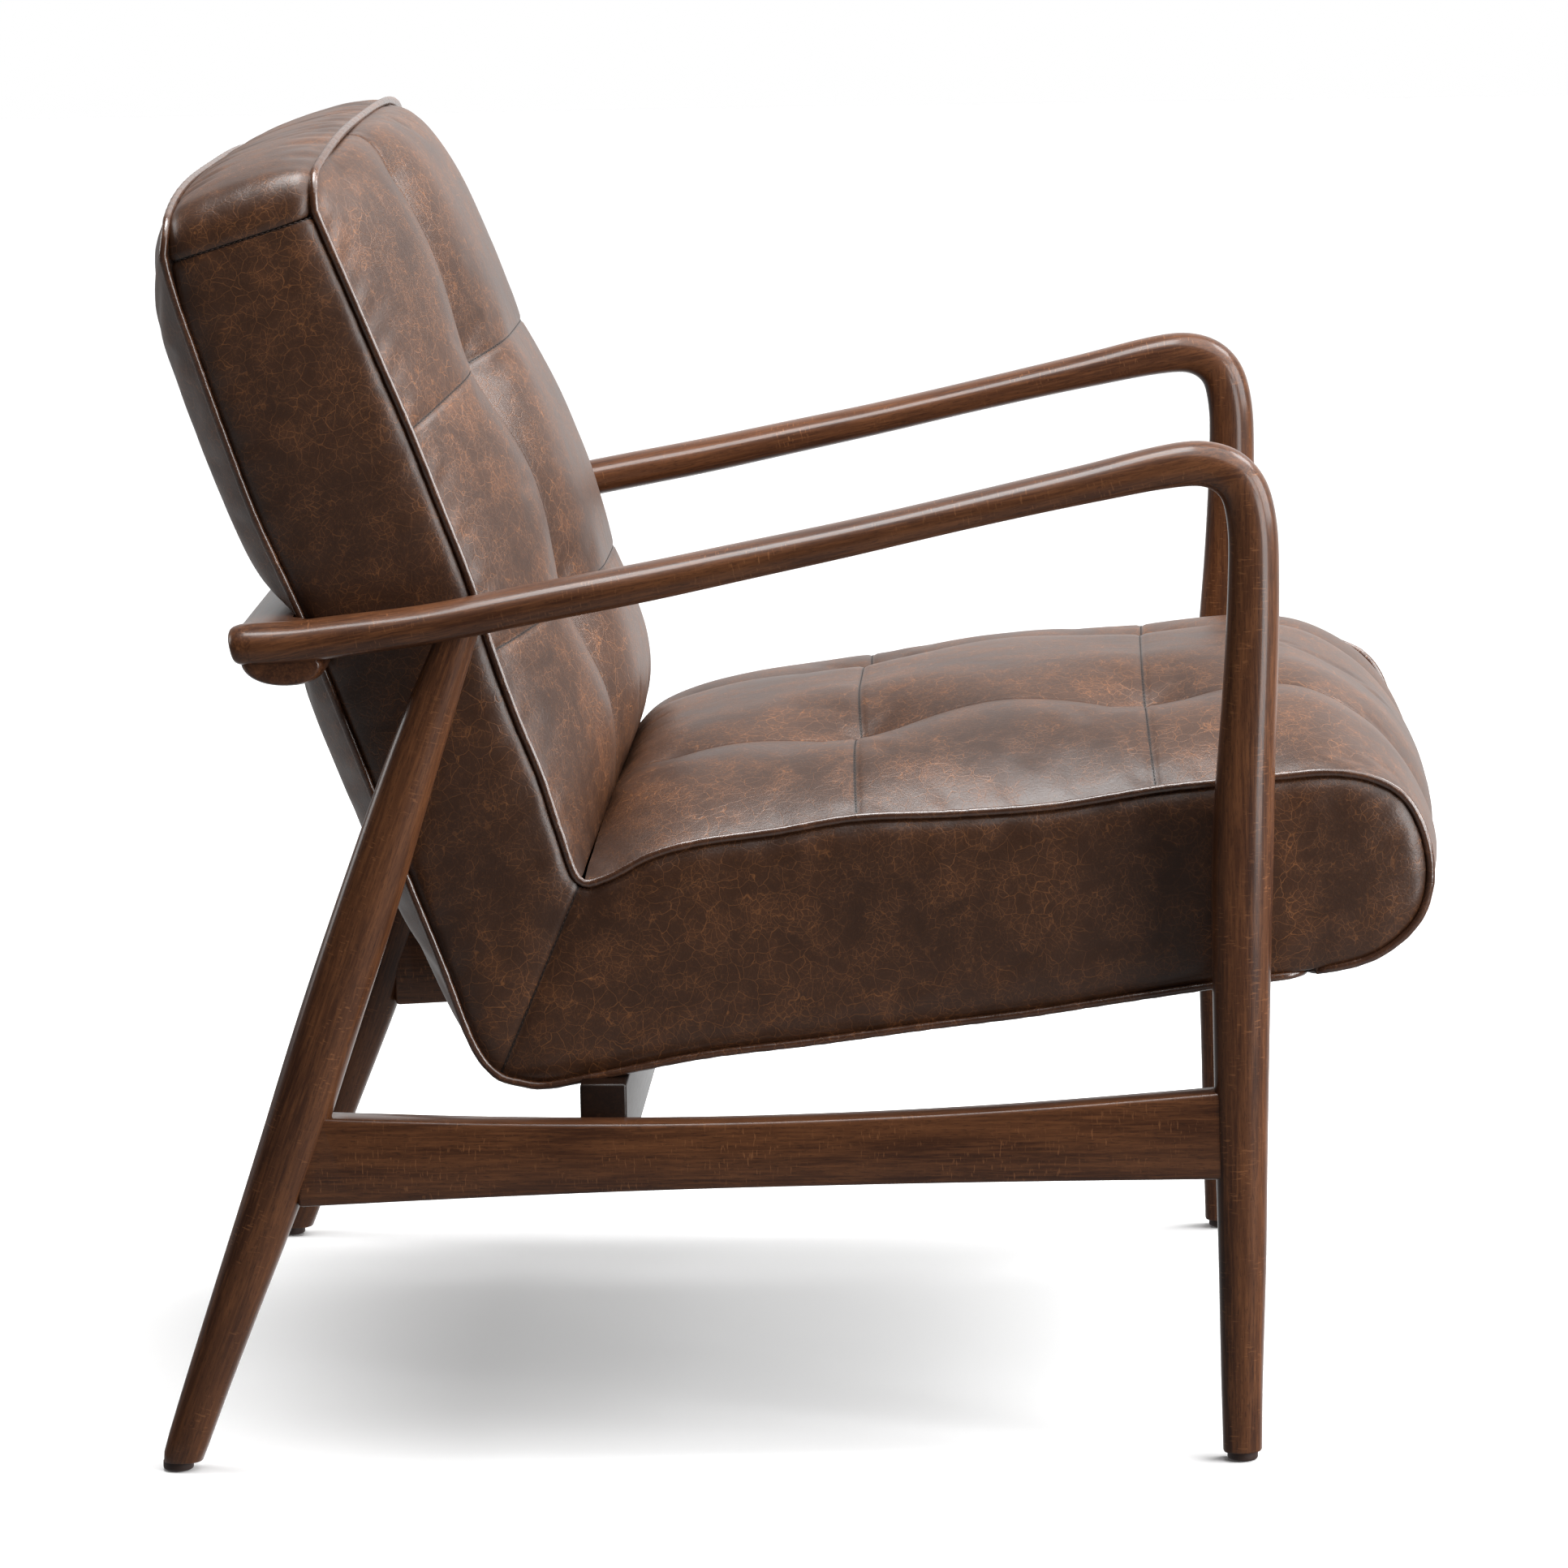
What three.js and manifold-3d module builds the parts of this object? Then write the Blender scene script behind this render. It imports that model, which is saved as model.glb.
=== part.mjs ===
// Wood-framed easy chair with one L-shaped leather shell for its seat and back.
// Millimetres, +Z up. The origin is on the floor, at the middle of the overall width and depth.
// The chair faces -Y and is symmetric about X = 0; the sitter's right side is at -X.
// Its pieces are drawn from the middle between the feet, then moved back by MIDDLE.
import * as THREE from 'three';
import { mergeVertices } from 'three/addons/utils/BufferGeometryUtils.js';
import Module from 'manifold-3d';

const wasm = await Module();
wasm.setup();

// ---- driving dimensions -------------------------------------------------------------
const GAP = 0.3;                 // clearance between pieces that touch
const FRAME_HALF = 332;          // middle of the legs and arms, from the centre plane
const MIDDLE = 60.142;           // the middle of the overall depth is this far in front of the feet's
const REAR_FOOT_SPLAY = 4;       // how far the rear feet stand outside the arms
const FOOT_Y = 330;              // front and rear glides, from the origin
const GLIDE_RADIUS = 9.5;
const GLIDE_HEIGHT = 5.5;
const SHELL_HALF = 300;          // outer face of the side boxing, from the centre plane
const LEATHER = 2.2;             // thickness of the leather covers
const FOAM_ROOM = 4;            // between the covers and the foam
const BOXING = 3;                // thickness of the padded side boxing
const PIPING_RADIUS = 2.6;
const FRAME_BOARD = 20;          // thickness of the boards inside the shell
const SEAT_BOARD_HEIGHT = 54;
const BACK_BOARD_DEPTH = 44;
const STRAP_WIDTH = 50;
const STRAP_THICKNESS = 2;
const STRETCHER_THICKNESS = 25;
const DOWEL_RADIUS = 4;
const SCREW_RADIUS = 2.5;
const BOLT_RADIUS = 3;
const BEND_STEPS = 18;
const STRAIGHT_STEPS = 12;
const BAR_SIDES = 12;            // sides of a leg's or an arm's oval section

// Centre line of an arm and its leg in the YZ plane: [y, z, thickness, width across X].
const ARM_LINE = [
  [266, 517, 23, 38], [221, 521.5, 25, 40], [163, 528, 24, 40], [77, 544, 24, 40],
  [-35, 565.5, 22.5, 40], [-154, 591, 21, 38], [-214, 604, 22, 37], [-273, 616.5, 25, 35],
  [-303, 621.5, 27, 33], [-321, 620, 28, 32], [-333, 611.5, 29, 32], [-340, 597, 30, 32],
];
const FRONT_LEG_LINE = [
  [-303, 621.5, 27, 33], [-321, 620, 28, 32], [-333, 611.5, 29, 32], [-340, 597, 30, 32],
  [-343, 562, 31, 33], [-340, 471, 34, 34], [-336, 384, 38, 35], [-334, 315, 36.5, 35],
  [-333, 132, 30, 31], [-332, 50, 26, 27], [-332, -4, 24, 24],
];
const JOINT_POINT = [-333, 611.5];
const JOINT_TANGENT = [-0.62, -0.785];
const REAR_LEG_LINE = [
  [140, 530, 24, 27], [148, 508, 25, 28], [165, 464, 31, 31], [184, 410, 34.5, 34],
  [201, 360, 37.5, 35], [218, 312, 38, 35], [252, 212, 38, 35], [293, 101, 31, 30],
  [331, -4, 24.5, 25],
];

// ---- solids and booleans ------------------------------------------------------------
function solid(geometry) {
  const bare = geometry.clone();
  bare.deleteAttribute('normal');
  bare.deleteAttribute('uv');
  const merged = mergeVertices(bare, 1e-3);
  const mesh = new wasm.Mesh({
    numProp: 3,
    vertProperties: new Float32Array(merged.attributes.position.array),
    triVerts: new Uint32Array(merged.index.array),
  });
  return new wasm.Manifold(mesh);
}

function geometryOf(manifold) {
  const mesh = manifold.getMesh();
  const geometry = new THREE.BufferGeometry();
  geometry.setAttribute('position', new THREE.BufferAttribute(new Float32Array(mesh.vertProperties), 3));
  geometry.setIndex(new THREE.BufferAttribute(new Uint32Array(mesh.triVerts), 1));
  return geometry;
}

// Skins a row of closed rings, all with the same number of points, and closes both ends.
function loft(rings) {
  const count = rings[0].length;
  const positions = rings.flat().flatMap((p) => [p.x, p.y, p.z]);
  const index = [];
  for (let r = 0; r + 1 < rings.length; r += 1) {
    for (let i = 0; i < count; i += 1) {
      const a = r * count + i;
      const b = r * count + ((i + 1) % count);
      index.push(a, b, a + count, b, b + count, a + count);
    }
  }
  const last = (rings.length - 1) * count;
  const flat = flatten(rings[0]);
  for (const [a, b, c] of THREE.ShapeUtils.triangulateShape(flat, [])) {
    const turned = THREE.ShapeUtils.isClockWise(flat);
    index.push(...(turned ? [a, b, c] : [a, c, b]));
    index.push(...(turned ? [a, c, b] : [a, b, c]).map((k) => k + last));
  }
  const geometry = new THREE.BufferGeometry();
  geometry.setAttribute('position', new THREE.Float32BufferAttribute(positions, 3));
  geometry.setIndex(index);
  return geometry;
}

// A ring's points in its own plane, for triangulating an end.
function flatten(ring) {
  const normal = new THREE.Vector3();
  for (let i = 0; i < ring.length; i += 1) {
    normal.add(ring[i].clone().cross(ring[(i + 1) % ring.length]));
  }
  normal.normalize();
  const side = Math.abs(normal.x) > 0.9 ? new THREE.Vector3(0, 1, 0) : new THREE.Vector3(1, 0, 0);
  const right = side.addScaledVector(normal, -side.dot(normal)).normalize();
  const up = normal.clone().cross(right);
  return ring.map((p) => new THREE.Vector2(p.dot(right), p.dot(up)));
}

function facingOut(geometry) {
  const made = solid(geometry);
  if (made.volume() > 0) {
    return geometry;
  }
  const index = geometry.index.array;
  for (let i = 0; i < index.length; i += 3) {
    const kept = index[i];
    index[i] = index[i + 1];
    index[i + 1] = kept;
  }
  return geometry;
}

// An oval bar along a smooth line of [y, z, thickness, width] stations at one X.
function bar(line, footX, topX, steps, grow = 0) {
  const path = new THREE.CatmullRomCurve3(line.map(([y, z]) => new THREE.Vector3(0, y, z)));
  const sizes = new THREE.CatmullRomCurve3(line.map(([, , deep, wide]) => new THREE.Vector3(deep, wide, 0)));
  const topZ = Math.max(...line.map(([, z]) => z));
  const rings = [];
  for (let s = 0; s <= steps; s += 1) {
    const t = s / steps;
    const centre = path.getPoint(t);
    const tangent = path.getTangent(t);
    const normal = new THREE.Vector3(0, -tangent.z, tangent.y);
    const size = sizes.getPoint(t);
    centre.x = footX + (topX - footX) * Math.min(1, Math.max(0, centre.z / topZ));
    const ring = [];
    for (let k = 0; k < BAR_SIDES; k += 1) {
      const angle = (2 * Math.PI * k) / BAR_SIDES;
      const point = centre.clone();
      point.x += (size.y / 2 + grow) * Math.cos(angle);
      point.addScaledVector(normal, (size.x / 2 + grow) * Math.sin(angle));
      ring.push(point);
    }
    rings.push(ring);
  }
  return facingOut(loft(rings));
}

// A block centred at a point, turned about X so that its own +Y points along (y, z).
function block(sizeX, sizeAlong, sizeUp, centre, along = [1, 0]) {
  const geometry = new THREE.BoxGeometry(sizeX, sizeAlong, sizeUp);
  geometry.rotateX(Math.atan2(along[1], along[0]));
  return geometry.translate(...centre);
}

// A round rod from one point to another.
function rod(radius, from, to, sides = 12) {
  const start = new THREE.Vector3(...from);
  const end = new THREE.Vector3(...to);
  const geometry = new THREE.CylinderGeometry(radius, radius, start.distanceTo(end), sides);
  const turn = new THREE.Quaternion().setFromUnitVectors(
    new THREE.Vector3(0, 1, 0), end.clone().sub(start).normalize(),
  );
  geometry.applyQuaternion(turn);
  const middle = start.add(end).multiplyScalar(0.5);
  return geometry.translate(middle.x, middle.y, middle.z);
}

function cut(geometry, ...tools) {
  let result = solid(geometry);
  for (const tool of tools) {
    result = result.subtract(solid(tool));
  }
  return geometryOf(result);
}

function join(geometry, ...others) {
  let result = solid(geometry);
  for (const other of others) {
    result = result.add(solid(other));
  }
  return geometryOf(result);
}

function common(geometry, other) {
  return geometryOf(solid(geometry).intersect(solid(other)));
}

// ---- the object ---------------------------------------------------------------------
const chair = new THREE.Group();
chair.position.y = MIDDLE;
const MATERIALS = {
  wood: { color: 0x5a3722, roughness: 0.35, metalness: 0 },
  leather: { color: 0x4a2c1c, roughness: 0.45, metalness: 0 },
  piping: { color: 0x3c2216, roughness: 0.45, metalness: 0 },
  glide: { color: 0x1d120d, roughness: 0.6, metalness: 0 },
  steel: { color: 0x8d8f92, roughness: 0.35, metalness: 1 },
  frame_wood: { color: 0xb08a5c, roughness: 0.8, metalness: 0 },
  foam: { color: 0xd9cfa6, roughness: 0.95, metalness: 0 },
  webbing: { color: 0x2b2b2b, roughness: 0.9, metalness: 0 },
  lining: { color: 0x17120f, roughness: 0.95, metalness: 0 },
};

function add(name, geometry, finish) {
  const mesh = new THREE.Mesh(geometry, new THREE.MeshStandardMaterial(MATERIALS[finish]));
  mesh.name = name;
  chair.add(mesh);
}

const SIDES = [['right', -1], ['left', 1]];

// ---- wooden frame -------------------------------------------------------------------
const STRETCHER_FRONT = { y: -317, top: 233, bottom: 179 };
const STRETCHER_MIDDLE = { y: 20, top: 219, bottom: 175 };
const STRETCHER_REAR = { y: 232, top: 223, bottom: 168 };
const TENON_THICKNESS = 11;
const TENON_HEIGHT = 30;
const CROSS_RAIL = { y: 61, thickness: 29, bottom: 186, top: 243 };
const CROSS_TENON = { length: 12, height: 26, thickness: 12 };
const BACK_RAIL = { front: 221, rear: 279, bottom: 492, top: 524, half: 351 };
const LEG_BOLT = { y: -334, z: 340 };
const RAIL_LAP = 265;            // where an arm's end stops against the back rail's lip

function armBar(side, grow = 0) {
  return bar(ARM_LINE, side * FRAME_HALF, side * FRAME_HALF, BEND_STEPS, grow);
}

function frontLegBar(side, grow = 0) {
  return bar(FRONT_LEG_LINE, side * FRAME_HALF, side * FRAME_HALF, BEND_STEPS, grow);
}

function rearLegBar(side, grow = 0) {
  return bar(REAR_LEG_LINE, side * (FRAME_HALF + REAR_FOOT_SPLAY), side * FRAME_HALF, STRAIGHT_STEPS, grow);
}

// Everything on one side of the slanting joint between an arm and its front leg.
function beyondJoint(side, towardsLeg) {
  const reach = 60;
  const sign = towardsLeg ? 1 : -1;
  const shift = sign * (reach / 2 - GAP / 2);
  return block(60, reach, 110, [
    side * FRAME_HALF,
    JOINT_POINT[0] + JOINT_TANGENT[0] * shift,
    JOINT_POINT[1] + JOINT_TANGENT[1] * shift,
  ], JOINT_TANGENT);
}

// A slab that levels the bottom of a leg where its glide is nailed on.
function floorSlab() {
  return block(1000, 1000, 60, [0, 0, GLIDE_HEIGHT + GAP - 30]);
}

function jointDowel(side, grow = 0) {
  const ends = [-17 - grow, 17 + grow].map((reach) => [
    side * FRAME_HALF,
    JOINT_POINT[0] + JOINT_TANGENT[0] * reach,
    JOINT_POINT[1] + JOINT_TANGENT[1] * reach,
  ]);
  return rod(DOWEL_RADIUS + grow, ends[0], ends[1]);
}

function rearLegDowel(side, grow = 0) {
  const x = side * FRAME_HALF;
  return rod(DOWEL_RADIUS + grow, [x, 156, 495 - grow], [x, 144.5, 527 + grow]);
}

function glideNail(side, y, x, grow = 0) {
  return rod(1.3 + grow, [side * x, y, 3.2 - grow], [side * x, y, 20 + grow], 8);
}

// The side stretcher is a shaped board, shallowest a little behind its middle.
function stretcherBoard(side) {
  const shape = new THREE.Shape();
  shape.moveTo(STRETCHER_FRONT.y - 8, STRETCHER_FRONT.bottom);
  shape.quadraticCurveTo(STRETCHER_MIDDLE.y, STRETCHER_MIDDLE.bottom + 4, 252, STRETCHER_REAR.bottom - 2);
  shape.lineTo(240, STRETCHER_REAR.top);
  shape.quadraticCurveTo(60, STRETCHER_MIDDLE.top - 6, STRETCHER_FRONT.y - 8, STRETCHER_FRONT.top);
  shape.closePath();
  const edge = 2;
  const geometry = new THREE.ExtrudeGeometry(shape, {
    depth: STRETCHER_THICKNESS - 2 * edge, curveSegments: 12,
    bevelEnabled: true, bevelThickness: edge, bevelSize: edge, bevelOffset: -edge, bevelSegments: 2,
  });
  geometry.translate(0, 0, -(STRETCHER_THICKNESS - 2 * edge) / 2);
  return acrossX(geometry).translate(side * FRAME_HALF, 0, 0);
}

// Turns a shape drawn in (y, z) and extruded along its own Z so that it runs along X.
function acrossX(geometry) {
  return geometry.applyMatrix4(new THREE.Matrix4().set(0, 0, 1, 0, 1, 0, 0, 0, 0, 1, 0, 0, 0, 0, 0, 1));
}

function frontTenon(side, grow = 0) {
  const size = [TENON_THICKNESS + 2 * grow, 20 + 2 * grow, TENON_HEIGHT + 2 * grow];
  return block(...size, [side * FRAME_HALF, STRETCHER_FRONT.y - 4, 206]);
}

function rearTenon(side, grow = 0) {
  const size = [TENON_THICKNESS + 2 * grow, 30 + 2 * grow, TENON_HEIGHT + 2 * grow];
  return block(...size, [side * (FRAME_HALF + 2), 240, 196]);
}

function crossTenon(side, grow = 0) {
  const { length, height, thickness } = CROSS_TENON;
  const root = 6;
  const inner = FRAME_HALF - STRETCHER_THICKNESS / 2;
  const size = [length + root + 2 * grow, thickness + 2 * grow, height + 2 * grow];
  return block(...size, [side * (inner + (length - root) / 2), CROSS_RAIL.y, 202]);
}

function railScrew(side, grow = 0) {
  return rod(SCREW_RADIUS + grow, [side * 276, 272 + grow, 508], [side * 276, 206 - grow, 508]);
}

function armScrew(side, grow = 0) {
  return rod(SCREW_RADIUS + grow, [side * FRAME_HALF, 244, 494], [side * FRAME_HALF, 244, 519 + grow]);
}

function crossScrew(side, grow = 0) {
  const x = side * 278;
  return rod(SCREW_RADIUS + grow, [x, CROSS_RAIL.y, 190 - grow], [x, CROSS_RAIL.y, 270 + grow]);
}

function legBolt(side, grow = 0) {
  const { y, z } = LEG_BOLT;
  return rod(BOLT_RADIUS + grow, [side * 262, y, z], [side * (334 + grow), y, z]);
}

function addFrame() {
  for (const [name, side] of SIDES) {
    const armGap = armBar(side, GAP);
    add(`arm_${name}`, cut(
      armBar(side), beyondJoint(side, true), jointDowel(side, GAP), rearLegDowel(side, GAP),
      armScrew(side, GAP),
    ), 'wood');
    add(`front_leg_${name}`, cut(
      frontLegBar(side), beyondJoint(side, false), floorSlab(), jointDowel(side, GAP),
      frontTenon(side, GAP), glideNail(side, -332, FRAME_HALF, GAP), legBolt(side, GAP),
    ), 'wood');
    add(`rear_leg_${name}`, cut(
      rearLegBar(side), armGap, floorSlab(), rearLegDowel(side, GAP), rearTenon(side, GAP),
      glideNail(side, FOOT_Y, FRAME_HALF + REAR_FOOT_SPLAY, GAP),
    ), 'wood');
    const board = cut(stretcherBoard(side), frontLegBar(side, GAP), rearLegBar(side, GAP));
    add(`side_stretcher_${name}`, cut(
      join(board, frontTenon(side), rearTenon(side)), crossTenon(side, GAP),
    ), 'wood');
    add(`arm_joint_dowel_${name}`, jointDowel(side), 'frame_wood');
    add(`rear_leg_dowel_${name}`, rearLegDowel(side), 'frame_wood');
    add(`arm_end_screw_${name}`, armScrew(side), 'steel');
    add(`back_rail_screw_${name}`, railScrew(side), 'steel');
    add(`cross_rail_screw_${name}`, crossScrew(side), 'steel');
    add(`leg_bolt_${name}`, legBolt(side), 'steel');
    addGlide(`front_${name}`, side * FRAME_HALF, -332);
    addGlide(`rear_${name}`, side * (FRAME_HALF + REAR_FOOT_SPLAY), FOOT_Y);
  }
  add('back_rail', backRail(), 'wood');
  add('cross_rail', crossRail(), 'wood');
}

// A glide is a low plastic puck with a nail moulded in.
function addGlide(name, x, y) {
  const round = 1.6;
  const profile = [
    [0, 0], [GLIDE_RADIUS - round, 0], [GLIDE_RADIUS - 0.4 * round, 0.5 * round],
    [GLIDE_RADIUS, round], [GLIDE_RADIUS, GLIDE_HEIGHT], [0, GLIDE_HEIGHT],
  ].map(([r, z]) => new THREE.Vector2(r, z));
  const puck = new THREE.LatheGeometry(profile, 16);
  puck.rotateX(Math.PI / 2);
  puck.translate(x, y, 0);
  const side = Math.sign(x);
  add(`glide_${name}`, cut(facingOut(puck), glideNail(side, y, Math.abs(x), GAP)), 'glide');
  add(`glide_nail_${name}`, glideNail(side, y, Math.abs(x)), 'steel');
}

// The back rail has a round belly; its lip stands behind the arms, which lap over its ends.
function backRail() {
  const { front, rear, bottom, top, half } = BACK_RAIL;
  const shape = new THREE.Shape();
  shape.moveTo(front, bottom + 13);
  shape.bezierCurveTo(front + 6, bottom - 2, rear - 14, bottom - 5, rear - 3, bottom + 18);
  shape.quadraticCurveTo(rear + 1, top - 8, rear - 2, top - 3);
  shape.quadraticCurveTo(rear - 3, top, rear - 7, top);
  shape.lineTo(front, top);
  shape.closePath();
  const section = shape.getPoints(8).slice(0, -1);
  const centre = new THREE.Vector2((front + rear) / 2, (bottom + top) / 2);
  const round = 4;
  const ends = [[-half, 0.86], [-half + round, 1], [half - round, 1], [half, 0.86]];
  const rings = ends.map(([x, scale]) => section.map((p) => {
    const q = p.clone().sub(centre).multiplyScalar(scale).add(centre);
    return new THREE.Vector3(x, q.x, q.y);
  }));
  const rail = facingOut(loft(rings));
  const lap = (side) => block(60, 80, 40, [side * 341, RAIL_LAP + GAP - 40, 509.5 + 20]);
  return cut(
    rail, shellClearance(), lap(-1), lap(1), armBar(-1, GAP), armBar(1, GAP),
    armScrew(-1, GAP), armScrew(1, GAP), railScrew(-1, GAP), railScrew(1, GAP),
  );
}

// The cross rail ties the stretchers together and carries the shell's heel.
function crossRail() {
  const length = 2 * (FRAME_HALF - STRETCHER_THICKNESS / 2 - GAP);
  const height = CROSS_RAIL.top - CROSS_RAIL.bottom + 8;
  const centre = [0, CROSS_RAIL.y, CROSS_RAIL.bottom + height / 2];
  const board = block(length, CROSS_RAIL.thickness, height, centre);
  const trimmed = cut(board, shellClearance(), crossScrew(-1, GAP), crossScrew(1, GAP));
  return join(trimmed, crossTenon(-1), crossTenon(1));
}

// ---- L-shaped shell: outlines -------------------------------------------------------
// Outline of the shell's side from the top of the back down its face, over the crease and
// the seat to the nose, at the piping and at the fullest part of the padding.
const FACE_EDGE = [
  [229, 798], [223, 768], [196, 700], [155, 586], [120, 485], [95, 415], [84, 370], [71, 358],
  [52, 366], [0, 383], [-98, 395], [-200, 403], [-318, 416], [-392, 422], [-432, 404],
  [-449, 362], [-439, 328], [-414, 308], [-376, 301],
];
const FACE_FULL = [
  [224, 816], [184, 802], [158, 755], [124, 680], [88, 590], [64, 508], [52, 448], [44, 428],
  [26, 424], [-28, 436], [-110, 447], [-205, 457], [-318, 462], [-398, 453], [-440, 422],
  [-461, 366], [-453, 325], [-424, 304], [-376, 299],
];
// The rest of the loop: under the seat, round the heel and up the back to the top.
const HEEL_EDGE = [
  [-376, 301], [-160, 273], [64, 242], [97, 236], [125, 243], [142, 262], [202, 430], [262, 600],
  [317, 754], [319, 768], [311, 774], [272, 786], [229, 798],
];
const HEEL_FULL = [
  [-376, 299], [-160, 271], [64, 241], [98, 235], [128, 241], [148, 262], [212, 430], [279, 600],
  [332, 742], [331, 772], [314, 786], [272, 803], [224, 816],
];
const FACE_STEPS = 36;
const FACE_CREASE = 14;          // step on the face outline where back and seat meet
const HEEL_STEPS = 24;
const HEEL_UNDER = 8;            // step where the bottom panel ends at the heel
const HEEL_TOP = 18;             // step where the outer back panel ends under the top
const CROWN_FROM = 286;          // the padding starts to rise this far from the centre
const STATIONS = [-284, -255, -205, -130, -45, 45, 130, 205, 255, 284];

function sample(points, steps) {
  const curve = new THREE.CatmullRomCurve3(points.map(([y, z]) => new THREE.Vector3(0, y, z)));
  const result = [];
  for (let s = 0; s <= steps; s += 1) {
    result.push(curve.getPoint(s / steps));
  }
  return result;
}

const EDGE_FACE = sample(FACE_EDGE, FACE_STEPS);
const FULL_FACE = sample(FACE_FULL, FACE_STEPS);
const EDGE_HEEL = sample(HEEL_EDGE, HEEL_STEPS);
const FULL_HEEL = sample(HEEL_FULL, HEEL_STEPS);

// How full the padding is at a distance from the centre plane, from 0 to 1.
function fullness(x) {
  const share = Math.min(1, Math.abs(x) / CROWN_FROM);
  return 1 - share ** 3;
}

// The closed outline at x, set in by a distance along its own inward normal.
function outline(x, inset) {
  const k = fullness(x);
  const blend = (edge, full) => edge.map((p, i) => p.clone().lerp(full[i], k));
  const loop = [...blend(EDGE_FACE, FULL_FACE).slice(0, -1), ...blend(EDGE_HEEL, FULL_HEEL).slice(0, -1)];
  return loop.map((p, i) => {
    const before = loop[(i + loop.length - 1) % loop.length];
    const after = loop[(i + 1) % loop.length];
    const along = after.clone().sub(before).normalize();
    return new THREE.Vector3(x, p.y - along.z * inset, p.z + along.y * inset);
  });
}

// A body skinned across X between the outline at two insets, from one step of it to another.
function panel(from, to, outer, inner, half) {
  const rings = stationsTo(half).map((x) => {
    const run = (inset) => {
      const loop = outline(x, inset);
      const points = [];
      for (let i = from; i <= to; i += 1) {
        points.push(loop[i % loop.length].clone());
      }
      return points;
    };
    const outside = shortened(run(outer));
    const inside = shortened(run(inner));
    return [...outside, ...inside.reverse()];
  });
  return facingOut(loft(rings));
}

// Takes a hair off both ends of a run of points, so that neighbouring panels stay apart.
function shortened(points) {
  const last = points.length - 1;
  const first = points[1].clone().sub(points[0]).setLength(GAP);
  const end = points[last - 1].clone().sub(points[last]).setLength(GAP);
  points[0].add(first);
  points[last].add(end);
  return points;
}

function stationsTo(half) {
  return [-half, ...STATIONS, half];
}

// The whole shell's padded volume, set in by a distance that may change across X.
function shellBody(stations, insetAt) {
  return facingOut(loft(stations.map((x) => outline(x, insetAt(x)))));
}

// The room that the shell and its piping take, for cutting what it rests against.
function shellClearance() {
  const pipingRoom = 2 * PIPING_RADIUS + 3 * GAP;
  const step = 292;
  const stations = [-SHELL_HALF - 2, -step, 1 - step, ...STATIONS, step - 1, step, SHELL_HALF + 2];
  return shellBody(stations, (x) => (Math.abs(x) < step ? -2 * GAP : -pipingRoom));
}

// A round tube through a row of points, its rings turned with the path.
function tube(points, radius, sides) {
  const rings = [];
  let side = new THREE.Vector3(1, 0, 0);
  points.forEach((point, i) => {
    const before = points[Math.max(0, i - 1)];
    const after = points[Math.min(points.length - 1, i + 1)];
    const tangent = after.clone().sub(before).normalize();
    side = side.addScaledVector(tangent, -side.dot(tangent)).normalize();
    const up = tangent.clone().cross(side);
    const ring = [];
    for (let k = 0; k < sides; k += 1) {
      const angle = (2 * Math.PI * k) / sides;
      const p = point.clone().addScaledVector(side, radius * Math.cos(angle));
      ring.push(p.addScaledVector(up, radius * Math.sin(angle)));
    }
    rings.push(ring);
    side = side.clone();
  });
  return facingOut(loft(rings));
}

// ---- L-shaped shell: pieces ---------------------------------------------------------
const FACE_END = FACE_STEPS;
const LOOP_LENGTH = FACE_STEPS + HEEL_STEPS;
const INNER_HALF = SHELL_HALF - BOXING - GAP;
const PIPING_X = SHELL_HALF - PIPING_RADIUS + 0.6;
const PIPING_OUT = PIPING_RADIUS + 2 * GAP;
const PIPING_SIDES = 6;
const MITRE = { top: [44, 428], heel: [122, 241] };
const SEAT_AXES = { origin: [96, 239.5], along: [-0.991, 0.133], up: [0.133, 0.991] };
const BACK_AXES = { origin: [142, 262], along: [0.3335, 0.9427], up: [-0.9427, 0.3335] };
const BOARD_LIFT = 5;            // from a panel's outer face to the boards behind it
const BOARD_X = [268, 288];      // inner and outer faces of the side boards
const SEAT_REACH = [8, 471];     // rear and front ends of the seat's side boards
const BACK_REACH = [2, 500];     // lower and upper ends of the back's side boards
const STRAP_PLACES_SEAT = [95, 192, 289, 386];
const STRAP_PLACES_BACK = [130, 228, 326, 424];

// A block in the seat's or the back's own axes: X range, range along, range up.
function boardBlock(axes, xRange, alongRange, upRange) {
  const middle = (range) => (range[0] + range[1]) / 2;
  const along = middle(alongRange);
  const up = middle(upRange);
  const y = axes.origin[0] + axes.along[0] * along + axes.up[0] * up;
  const z = axes.origin[1] + axes.along[1] * along + axes.up[1] * up;
  return block(
    xRange[1] - xRange[0], alongRange[1] - alongRange[0], upRange[1] - upRange[0],
    [middle(xRange), y, z], axes.along,
  );
}

function widened(range, by) {
  return [range[0] - by, range[1] + by];
}

const SEAT_UP = [BOARD_LIFT, BOARD_LIFT + SEAT_BOARD_HEIGHT];
const BACK_UP = [BOARD_LIFT, BOARD_LIFT + BACK_BOARD_DEPTH];

function sideRange(side) {
  return side > 0 ? BOARD_X : [-BOARD_X[1], -BOARD_X[0]];
}

function seatSideBoard(side, grow = 0) {
  const ranges = [sideRange(side), SEAT_REACH, SEAT_UP].map((range) => widened(range, grow));
  return boardBlock(SEAT_AXES, ...ranges);
}

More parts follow.
